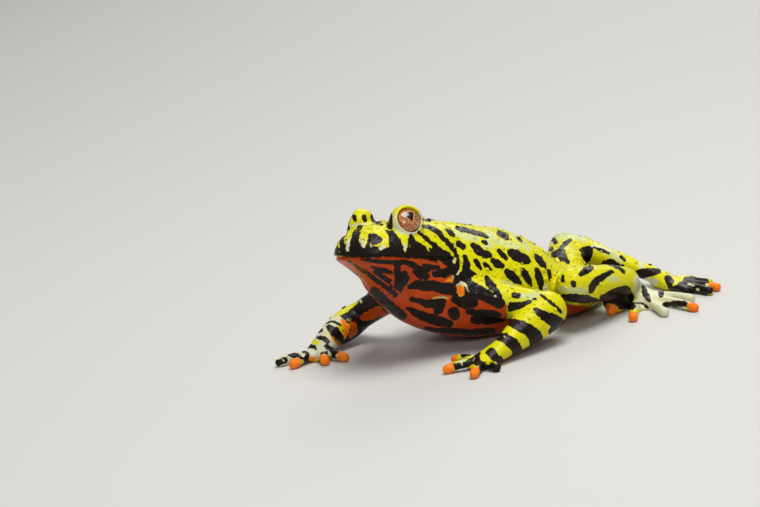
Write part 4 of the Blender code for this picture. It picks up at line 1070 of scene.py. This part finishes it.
def skin_material(settings):
    """Living amphibian skin, wet with its own slime: a clear gloss over a finely grained surface, so the
    black parts mirror the room and the yellow ones glow."""
    material = bpy.data.materials.new("wet_toad_skin")
    material.use_nodes = True
    tree = material.node_tree
    shader = tree.nodes["Principled BSDF"]
    place = node_in(tree, "ShaderNodeTexCoord").outputs["Object"]
    wobble = node_in(tree, "ShaderNodeTexNoise", values={"Scale": 1 / (0.7 * MM), "Detail": 4.0},
                     links={"Vector": place}).outputs["Fac"]
    cloud = node_in(tree, "ShaderNodeTexNoise", values={"Scale": 1 / (2.6 * MM), "Detail": 3.0},
                    links={"Vector": place}).outputs["Fac"]
    shade = {}
    for name, softness in ((BLACK_AND_SHADE, 0.06), (PALE_AND_SHEEN, 0.4), (ORANGE, 0.14), (CREAM_AND_HIGHLIGHT, 0.16), (BRIGHT, 0.2)):
        field = node_in(tree, "ShaderNodeAttribute", {"attribute_name": name}).outputs["Fac"]
        moved = node_in(tree, "ShaderNodeMath", {"operation": "MULTIPLY_ADD"}, {1: 0.5, 2: -0.25},
                        {0: wobble}).outputs[0]
        field = node_in(tree, "ShaderNodeMath", {"operation": "ADD"}, links={0: field, 1: moved}).outputs[0]
        shade[name] = node_in(tree, "ShaderNodeMapRange", {"interpolation_type": "SMOOTHSTEP"},
                              {"From Min": -softness, "From Max": softness, "To Min": 1.0, "To Max": 0.0},
                              {"Value": field}).outputs["Result"]

    colour = None
    for name, low, high in ((YELLOW, settings.yellow_deep, settings.yellow),
                            (PALE_AND_SHEEN, settings.pale_green, settings.pale),
                            (ORANGE, settings.orange_deep, settings.orange),
                            (CREAM_AND_HIGHLIGHT, settings.cream_grey, settings.cream),
                            (BRIGHT, settings.tip_deep, settings.tip),
                            (BLACK_AND_SHADE, settings.black, settings.black_warm)):
        own = node_in(tree, "ShaderNodeMix", {"data_type": "RGBA"}, {6: (*low, 1.0), 7: (*high, 1.0)},
                      {"Factor": cloud}).outputs[2]
        if colour is None:
            colour = own
        else:
            colour = node_in(tree, "ShaderNodeMix", {"data_type": "RGBA"},
                             links={"Factor": shade[name], 6: colour, 7: own}).outputs[2]
    tree.links.new(colour, shader.inputs["Base Color"])
    grain = node_in(tree, "ShaderNodeTexVoronoi", {"feature": "F1"}, {"Scale": 1 / (0.42 * MM)},
                    {"Vector": place}).outputs["Distance"]
    crease = node_in(tree, "ShaderNodeTexNoise", values={"Scale": 1 / (1.3 * MM), "Detail": 3.0},
                     links={"Vector": place}).outputs["Fac"]
    low_relief = node_in(tree, "ShaderNodeBump", values={"Strength": 0.5, "Distance": 0.3 * MM},
                         links={"Height": crease}).outputs["Normal"]
    relief = node_in(tree, "ShaderNodeBump", {"invert": True}, {"Strength": 0.35, "Distance": 0.1 * MM},
                     {"Height": grain, "Normal": low_relief}).outputs["Normal"]
    tree.links.new(relief, shader.inputs["Normal"])
    shader.inputs["Roughness"].default_value = 0.5
    shader.inputs["IOR"].default_value = 1.33
    shader.inputs["Specular IOR Level"].default_value = 0.2
    shader.inputs["Coat Weight"].default_value = 0.32
    shader.inputs["Coat Roughness"].default_value = 0.1
    shader.inputs["Coat IOR"].default_value = 1.33
    tree.links.new(relief, shader.inputs["Coat Normal"])
    return material


def wart_share(points, normals, fields, limbs):
    """How thickly warts stand: most on the back and flanks, none on lips, lids, webs, digits and belly."""
    left, forward, over = (np.array(axis) for axis in head_axes())
    offset = points - np.array(HEAD_ORIGIN)
    share = np.clip(fields[ORANGE] * 0.6, 0.0, 1.0) * np.clip((normals[:, 2] + 0.5) * 2.0, 0.0, 1.0)
    lip = (offset @ forward > -1.0) & (offset @ over < 1.6)
    share[lip] = 0.0
    for side in (1, -1):
        gap = np.linalg.norm(points - np.array(eye_centre(side)), axis=1)
        share *= np.clip(gap - 2.9, 0.0, 1.0)
    low = points[:, 2] < 2.4
    for members in limbs.values():
        share[members & low] = 0.0
        share[members] *= 0.6
    return share


def paint_skin(skin, settings):
    """Lay the markings on the skin's vertices and give it its material."""
    mesh = skin.data
    points = places_of(mesh)
    normals = normals_of(mesh)
    rows = photo_rows(points)
    limbs = limb_regions(points)
    on_limb = np.any(list(limbs.values()), axis=0)
    body = ~on_limb
    whole_tree = tree_of(mesh)
    body_tree = tree_of(mesh, body)
    fields = {name: np.full(len(points), 9.0) for name in (PALE_AND_SHEEN, CREAM_AND_HIGHLIGHT, BRIGHT, BLACK_AND_SHADE)}
    fields[ORANGE] = underside_field(points, normals, on_limb, body_tree)
    seen = seen_share(points, normals, whole_tree, body)
    for marks, spread in ((FACE_MARKS, 0.1), (CROWN_MARKS, 0.2), (THROAT_MARKS, 0.3), (CHEST_MARKS, 0.3),
                          (BACK_MARKS, 0.4), (SHOULDER_MARKS, 0.3)):
        lay_marks(marks, body, rows, body_tree, BODY_DEPTH_SHARE, fields, spread)
    for name, marks in (("arm_left", LEFT_ARM_MARKS), ("arm_right", RIGHT_ARM_MARKS),
                        ("leg_left", LEFT_LEG_MARKS), ("leg_right", RIGHT_LEG_MARKS)):
        lay_marks(marks, limbs[name], rows, tree_of(mesh, limbs[name]), LIMB_DEPTH_SHARE, fields, 0.2)
    rng = np.random.default_rng(settings.seed)
    hidden = body & (seen < 0.5)
    back = np.flatnonzero(hidden & (fields[ORANGE] > 0.6))
    belly = np.flatnonzero(hidden & (fields[ORANGE] < -0.3))
    blotches = np.minimum(
        scattered_blotches(points, normals, back, 2.9, (0.45, 0.95), (1.5, 2.6), (0.0, 0.8, -0.6), rng),
        scattered_blotches(points, normals, belly, 3.2, (0.8, 1.5), (1.2, 2.2), None, rng),
    )
    fields[BLACK_AND_SHADE][body] = np.minimum(fields[BLACK_AND_SHADE], blotches + seen * 3.0)[body]
    limb_seen = seen_share(points, normals, whole_tree, on_limb)
    limb_backs = np.flatnonzero(on_limb & (limb_seen < 0.5) & (fields[ORANGE] > 0.6))
    limb_blotches = scattered_blotches(points, normals, limb_backs, 2.6, (0.4, 0.8), (1.3, 2.4), None, rng)
    fields[BLACK_AND_SHADE][on_limb] = np.minimum(fields[BLACK_AND_SHADE], limb_blotches + limb_seen * 3.0)[on_limb]
    tips = np.full(len(points), 9.0)
    for tip in ORANGE_TIPS:
        middle = np.array((tip.x, tip.y, FINGER_TIP_RADIUS))
        tips = np.minimum(tips, np.linalg.norm(points - middle, axis=1) - TIP_REACH)
    fields[BRIGHT] = np.minimum(fields[BRIGHT], tips)
    fields[BLACK_AND_SHADE] = np.maximum(fields[BLACK_AND_SHADE], -tips)
    for name, values in fields.items():
        store(mesh, name, values)
    store(mesh, "wart_density", wart_share(points, normals, fields, limbs))
    mesh.materials.append(skin_material(settings))


class ToadMakeSkin(bpy.types.Operator):
    """Make the one skin over head, torso and limbs, with mouth, nostrils and eye openings"""

    bl_idname = "toad.make_skin"
    bl_label = "Skin"

    def execute(self, context):
        settings = context.scene.toad_skin
        eyes = context.scene.toad_eyes
        mesh_data = bmesh.new()
        add_head(mesh_data)
        add_torso(mesh_data)
        add_arm(mesh_data, (SHOULDER_LEFT, ELBOW_LEFT, WRIST_LEFT, PALM_LEFT), FINGER_TIPS_LEFT,
                UPPER_ARM_RADII_LEFT, FOREARM_RADII_LEFT)
        add_arm(mesh_data, (SHOULDER_RIGHT, ELBOW_RIGHT, WRIST_RIGHT, PALM_RIGHT), FINGER_TIPS_RIGHT,
                UPPER_ARM_RADII_RIGHT, FOREARM_RADII_RIGHT)
        add_leg(mesh_data, (HIP_LEFT, KNEE_LEFT, ANKLE_LEFT, FOOT_LEFT), TOE_TIPS_LEFT,
                THIGH_RADII_LEFT, SHANK_RADII_LEFT, TARSUS_RADII_LEFT)
        add_leg(mesh_data, (HIP_RIGHT, KNEE_RIGHT, ANKLE_RIGHT, FOOT_RIGHT), TOE_TIPS_RIGHT,
                THIGH_RADII_RIGHT, SHANK_RADII_RIGHT, TARSUS_RADII_RIGHT)
        for side in (1, -1):
            gaze = gaze_of(side)
            add_lens(mesh_data, eye_centre(side) - gaze * LID_OFFSET, gaze, LID_RADIUS, LID_HALF_DEPTH)
            add_lid_rim(mesh_data, side)
        add_ball(mesh_data, HEEL_PAD_LEFT, HEEL_PAD_RADIUS)
        skin = object_from("toad_skin", mesh_data)
        remesh = skin.modifiers.new("even_skin", "REMESH")
        remesh.mode = "VOXEL"
        remesh.voxel_size = settings.grid
        smooth = skin.modifiers.new("rounding", "SMOOTH")
        smooth.factor = 0.5
        smooth.iterations = settings.rounding
        modified(skin)
        tree = tree_of(skin.data)
        cutters = bmesh.new()
        add_tube(cutters, mouth_line(tree), (MOUTH_GROOVE,) * 2)
        for side in (1, -1):
            add_eye_opening(cutters, side, eyes.radius / MM, eyes.half_depth / MM, eyes.opening / MM)
            add_ball(cutters, head_point(NOSTRIL_SIDE * side, NOSTRIL_FORWARD, NOSTRIL_UP), NOSTRIL_RADIUS, 12)
        cut_away(skin, object_from("cutters", cutters))
        skin.data.name = "toad_skin"
        skin.data.shade_smooth()
        for vertex in skin.data.vertices:
            vertex.co.z = max(vertex.co.z, 0.0)
        if len(skin.data.vertices) < 10000:
            raise RuntimeError("the skin lost most of its faces")
        paint_skin(skin, settings)
        flesh = [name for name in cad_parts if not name.startswith("eye_")]
        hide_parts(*flesh)
        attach(skin, "root")
        return {"FINISHED"}


def camera_axes():
    """Unit vectors of the photograph: right, up and into it."""
    across = Vector((math.sin(CAMERA_HEADING), math.cos(CAMERA_HEADING), 0.0))
    away = Vector((-math.cos(CAMERA_HEADING), math.sin(CAMERA_HEADING), 0.0))
    ahead = away * math.cos(CAMERA_ELEVATION) - UP * math.sin(CAMERA_ELEVATION)
    upright = away * math.sin(CAMERA_ELEVATION) + UP * math.cos(CAMERA_ELEVATION)
    right = across * math.cos(CAMERA_ROLL) - upright * math.sin(CAMERA_ROLL)
    up = across * math.sin(CAMERA_ROLL) + upright * math.cos(CAMERA_ROLL)
    return right, up, ahead


def camera_place():
    """Where the camera stands, in the toad's own frame."""
    right, up, ahead = camera_axes()
    over = (ANCHOR_PIXEL[0] - PHOTO_WIDTH / 2) / PIXELS_PER_MM
    above = (PHOTO_HEIGHT / 2 - ANCHOR_PIXEL[1]) / PIXELS_PER_MM
    return ANCHOR - ahead * CAMERA_DISTANCE - right * over - up * above


class ToadMakeStage(bpy.types.Operator):
    """Make the floor, the soft studio light and the camera at the photograph's angle"""

    bl_idname = "toad.make_stage"
    bl_label = "Stage"

    def execute(self, context):
        settings = context.scene.toad_stage
        scene = context.scene
        mesh_data = bmesh.new()
        bmesh.ops.create_grid(mesh_data, x_segments=1, y_segments=1, size=1500.0)
        floor = object_from("studio_floor", mesh_data)
        material = bpy.data.materials.new("pale_matt_paper")
        material.use_nodes = True
        shader = material.node_tree.nodes["Principled BSDF"]
        shader.inputs["Base Color"].default_value = (*settings.floor, 1.0)
        shader.inputs["Roughness"].default_value = 0.8
        floor.data.materials.append(material)
        right, up, ahead = camera_axes()
        camera_data = bpy.data.cameras.new("camera")
        camera_data.sensor_width = SENSOR_WIDTH
        camera_data.lens = SENSOR_WIDTH * FOCAL_PIXELS / PHOTO_WIDTH
        camera_data.clip_start = 0.01
        camera_data.clip_end = 10.0
        camera = bpy.data.objects.new("camera", camera_data)
        turn = Matrix((right, up, -ahead)).transposed().to_4x4()
        camera.matrix_world = Matrix.Translation((camera_place() + SHIFT) * MM) @ turn
        scene.collection.objects.link(camera)
        scene.camera = camera
        world = bpy.data.worlds.new("soft_room")
        world.use_nodes = True
        world.node_tree.nodes["Background"].inputs["Color"].default_value = (*linear("#DDE6F0"), 1.0)
        world.node_tree.nodes["Background"].inputs["Strength"].default_value = 0.3
        scene.world = world
        scene.view_settings.view_transform = "Standard"
        for name, place, size, power in (
            ("overhead_softbox", (0.10, 0.02, 0.50), 0.30, 2.4),
            ("front_softbox", (0.45, -0.40, 0.35), 0.14, 0.8),
            ("back_softbox", (-0.30, 0.40, 0.30), 0.30, 0.8),
        ):
            light_data = bpy.data.lights.new(name, "AREA")
            light_data.shape = "SQUARE"
            light_data.size = size
            light_data.energy = power * settings.key_light
            light = bpy.data.objects.new(name, light_data)
            light.location = place
            light.rotation_euler = (-Vector(place)).to_track_quat("-Z", "Y").to_euler()
            scene.collection.objects.link(light)
        return {"FINISHED"}


def eye_material(settings):
    """A toad's eye: a wet clear cornea over a copper iris with gold flecks, round a black pupil that comes
    to a point below. The tear film gives it one sharp highlight."""
    material = bpy.data.materials.new("wet_copper_eye")
    material.use_nodes = True
    tree = material.node_tree
    shader = tree.nodes["Principled BSDF"]
    place = node_in(tree, "ShaderNodeAttribute", {"attribute_name": "eye_place"}).outputs["Vector"]
    flat = node_in(tree, "ShaderNodeVectorMath", {"operation": "MULTIPLY"}, {1: (1.0, 1.0, 0.0)},
                   {0: place}).outputs[0]
    reach = node_in(tree, "ShaderNodeVectorMath", {"operation": "LENGTH"}, links={0: flat}).outputs["Value"]
    centred = node_in(tree, "ShaderNodeVectorMath", {"operation": "SUBTRACT"}, {1: PUPIL_CENTRE},
                      {0: flat}).outputs[0]
    edges = [
        node_in(tree, "ShaderNodeVectorMath", {"operation": "DOT_PRODUCT"}, {1: side}, {0: centred}).outputs["Value"]
        for side in PUPIL_SIDES
    ]
    pupil = node_in(tree, "ShaderNodeMath", {"operation": "SMOOTH_MAX"}, {2: 0.22},
                    {0: edges[0], 1: edges[1]}).outputs[0]
    pupil = node_in(tree, "ShaderNodeMath", {"operation": "SMOOTH_MAX"}, {2: 0.22},
                    {0: pupil, 1: edges[2]}).outputs[0]

    stretched = node_in(tree, "ShaderNodeVectorMath", {"operation": "MULTIPLY"}, {1: (1.0, 1.0, 0.3)},
                        {0: place}).outputs[0]
    flecks = node_in(tree, "ShaderNodeTexNoise", values={"Scale": 3.4, "Detail": 4.0, "Roughness": 0.7},
                     links={"Vector": stretched}).outputs["Fac"]
    colour = node_in(tree, "ShaderNodeRGB").outputs[0]
    colour.default_value = (*settings.iris, 1.0)
    for value, start, end, paint in (
        (flecks, 0.42, 0.66, settings.gold),
        (flecks, 0.46, 0.3, settings.iris_dark),
        (pupil, PUPIL_REACH + 0.16, PUPIL_REACH + 0.08, settings.gold),
        (reach, 1.6, 1.95, settings.iris_dark),
        (pupil, PUPIL_REACH + 0.04, PUPIL_REACH - 0.04, settings.pupil),
    ):
        share = node_in(tree, "ShaderNodeMapRange", {"interpolation_type": "SMOOTHSTEP"},
                        {"From Min": start, "From Max": end}, {"Value": value}).outputs["Result"]
        colour = node_in(tree, "ShaderNodeMix", {"data_type": "RGBA"}, {7: (*paint, 1.0)},
                         {"Factor": share, 6: colour}).outputs[2]
    tree.links.new(colour, shader.inputs["Base Color"])
    shader.inputs["Roughness"].default_value = 0.25
    shader.inputs["IOR"].default_value = 1.38
    shader.inputs["Coat Weight"].default_value = 1.0
    shader.inputs["Coat Roughness"].default_value = 0.03
    return material


class ToadMakeEyes(bpy.types.Operator):
    """Make both eyeballs with their copper irises and black pupils"""

    bl_idname = "toad.make_eyes"
    bl_label = "Eyes"

    def execute(self, context):
        settings = context.scene.toad_eyes
        material = eye_material(settings)
        for name, node, side in (("eyeball_left", "eye_left", 1), ("eyeball_right", "eye_right", -1)):
            mesh_data = bmesh.new()
            centre, level, upright, gaze = eye_frame(side)
            add_lens(mesh_data, centre, gaze, settings.radius / MM, settings.half_depth / MM, 72)
            eye = object_from(name, mesh_data)
            eye.data.shade_smooth()
            offset = places_of(eye.data) - np.array(centre)
            own = np.stack([offset @ np.array(axis) for axis in (level, upright, gaze)], axis=1)
            attribute = eye.data.attributes.new("eye_place", "FLOAT_VECTOR", "POINT")
            attribute.data.foreach_set("vector", own.astype(np.float32).ravel())
            eye.data.materials.append(material)
            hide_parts(node)
            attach(eye, "root")
        return {"FINISHED"}


def wart_tree(material):
    """A node tree that scatters low domes over a skin and keeps the skin's markings on them."""
    tree = bpy.data.node_groups.new("warts_on_skin", "GeometryNodeTree")
    tree.is_modifier = True
    sockets = tree.interface
    sockets.new_socket("Geometry", in_out="INPUT", socket_type="NodeSocketGeometry")
    sockets.new_socket("Spacing", in_out="INPUT", socket_type="NodeSocketFloat")
    sockets.new_socket("Radius", in_out="INPUT", socket_type="NodeSocketFloat")
    sockets.new_socket("Seed", in_out="INPUT", socket_type="NodeSocketInt")
    sockets.new_socket("Geometry", in_out="OUTPUT", socket_type="NodeSocketGeometry")
    enter = node_in(tree, "NodeGroupInput").outputs
    density = node_in(tree, "GeometryNodeInputNamedAttribute", {"data_type": "FLOAT"}, {"Name": "wart_density"})
    scatter = node_in(tree, "GeometryNodeDistributePointsOnFaces", {"distribute_method": "POISSON"},
                      {"Density Max": 4.0e6},
                      {"Mesh": enter["Geometry"], "Distance Min": enter["Spacing"],
                       "Density Factor": density.outputs[0], "Seed": enter["Seed"]})
    ball = node_in(tree, "GeometryNodeMeshUVSphere", values={"Segments": 8, "Rings": 5, "Radius": 1.0})
    dome = node_in(tree, "GeometryNodeTransform", values={"Scale": (1.0, 1.0, 0.55)},
                   links={"Geometry": ball.outputs["Mesh"]})
    smooth = node_in(tree, "GeometryNodeSetShadeSmooth", links={"Geometry": dome.outputs["Geometry"]})
    chance = node_in(tree, "FunctionNodeRandomValue", {"data_type": "FLOAT"}, {2: 0.0, 3: 1.0},
                     {"Seed": enter["Seed"]})
    rare = node_in(tree, "ShaderNodeMath", {"operation": "POWER"}, {1: 3.0}, {0: chance.outputs[1]})
    share = node_in(tree, "ShaderNodeMath", {"operation": "MULTIPLY_ADD"}, {1: 1.1, 2: 0.6},
                    {0: rare.outputs[0]})
    size = node_in(tree, "ShaderNodeMath", {"operation": "MULTIPLY"},
                   links={0: share.outputs[0], 1: enter["Radius"]})
    place = node_in(tree, "GeometryNodeInstanceOnPoints",
                    links={"Points": scatter.outputs["Points"], "Instance": smooth.outputs["Geometry"],
                           "Rotation": scatter.outputs["Rotation"], "Scale": size.outputs[0]})
    real = node_in(tree, "GeometryNodeRealizeInstances", links={"Geometry": place.outputs["Instances"]})
    painted = node_in(tree, "GeometryNodeSetMaterial", values={"Material": material},
                      links={"Geometry": real.outputs["Geometry"]})
    node_in(tree, "NodeGroupOutput", links={"Geometry": painted.outputs["Geometry"]})
    return tree


class ToadMakeWarts(bpy.types.Operator):
    """Scatter the warts over the back, flanks and limbs"""

    bl_idname = "toad.make_warts"
    bl_label = "Warts"

    def execute(self, context):
        settings = context.scene.toad_warts
        skin = bpy.data.objects["toad_skin"]
        tree = wart_tree(skin.data.materials[0])
        base = bpy.data.objects.new("wart_ground", skin.data)
        context.scene.collection.objects.link(base)
        modifier = base.modifiers.new("warts", "NODES")
        modifier.node_group = tree
        values = {"Spacing": settings.spacing, "Radius": settings.radius, "Seed": settings.seed}
        for item in tree.interface.items_tree:
            if item.in_out == "INPUT" and item.name in values:
                modifier[item.identifier] = values[item.name]
        mesh = evaluated_mesh(base)
        bpy.data.objects.remove(base)
        if len(mesh.polygons) < 1000:
            raise RuntimeError("hardly any wart was made")
        mesh.name = "toad_warts"
        warts = bpy.data.objects.new("toad_warts", mesh)
        context.scene.collection.objects.link(warts)
        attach(warts, "root")
        return {"FINISHED"}


class ToadPanel(bpy.types.Panel):
    """The toad's pieces in the sidebar"""

    bl_idname = "VIEW3D_PT_toad"
    bl_label = "Toad"
    bl_space_type = "VIEW_3D"
    bl_region_type = "UI"
    bl_category = "Toad"

    def draw(self, context):
        layout = self.layout
        for group, operators in (
            (context.scene.toad_skin, ("toad.make_skin",)),
            (context.scene.toad_warts, ("toad.make_warts",)),
            (context.scene.toad_eyes, ("toad.make_eyes",)),
            (context.scene.toad_stage, ("toad.make_stage",)),
        ):
            box = layout.box()
            for name in group.bl_rna.properties.keys():
                if name not in ("rna_type", "name"):
                    box.prop(group, name)
            for operator in operators:
                box.operator(operator)


CLASSES = (ToadSkinSettings, ToadEyeSettings, ToadWartSettings, ToadStageSettings, ToadMakeSkin, ToadMakeWarts,
           ToadMakeEyes, ToadMakeStage, ToadPanel)


def register():
    """Add the classes and the scene's settings."""
    for one in CLASSES:
        bpy.utils.register_class(one)
    bpy.types.Scene.toad_skin = bpy.props.PointerProperty(type=ToadSkinSettings)
    bpy.types.Scene.toad_eyes = bpy.props.PointerProperty(type=ToadEyeSettings)
    bpy.types.Scene.toad_warts = bpy.props.PointerProperty(type=ToadWartSettings)
    bpy.types.Scene.toad_stage = bpy.props.PointerProperty(type=ToadStageSettings)


def unregister():
    """Remove them again."""
    for name in ("toad_stage", "toad_warts", "toad_eyes", "toad_skin"):
        delattr(bpy.types.Scene, name)
    for one in reversed(CLASSES):
        bpy.utils.unregister_class(one)


def main():
    """Make the whole scene."""
    register()
    bpy.ops.toad.make_skin()
    bpy.ops.toad.make_warts()
    bpy.ops.toad.make_eyes()
    bpy.ops.toad.make_stage()


if __name__ == "__main__":
    main()
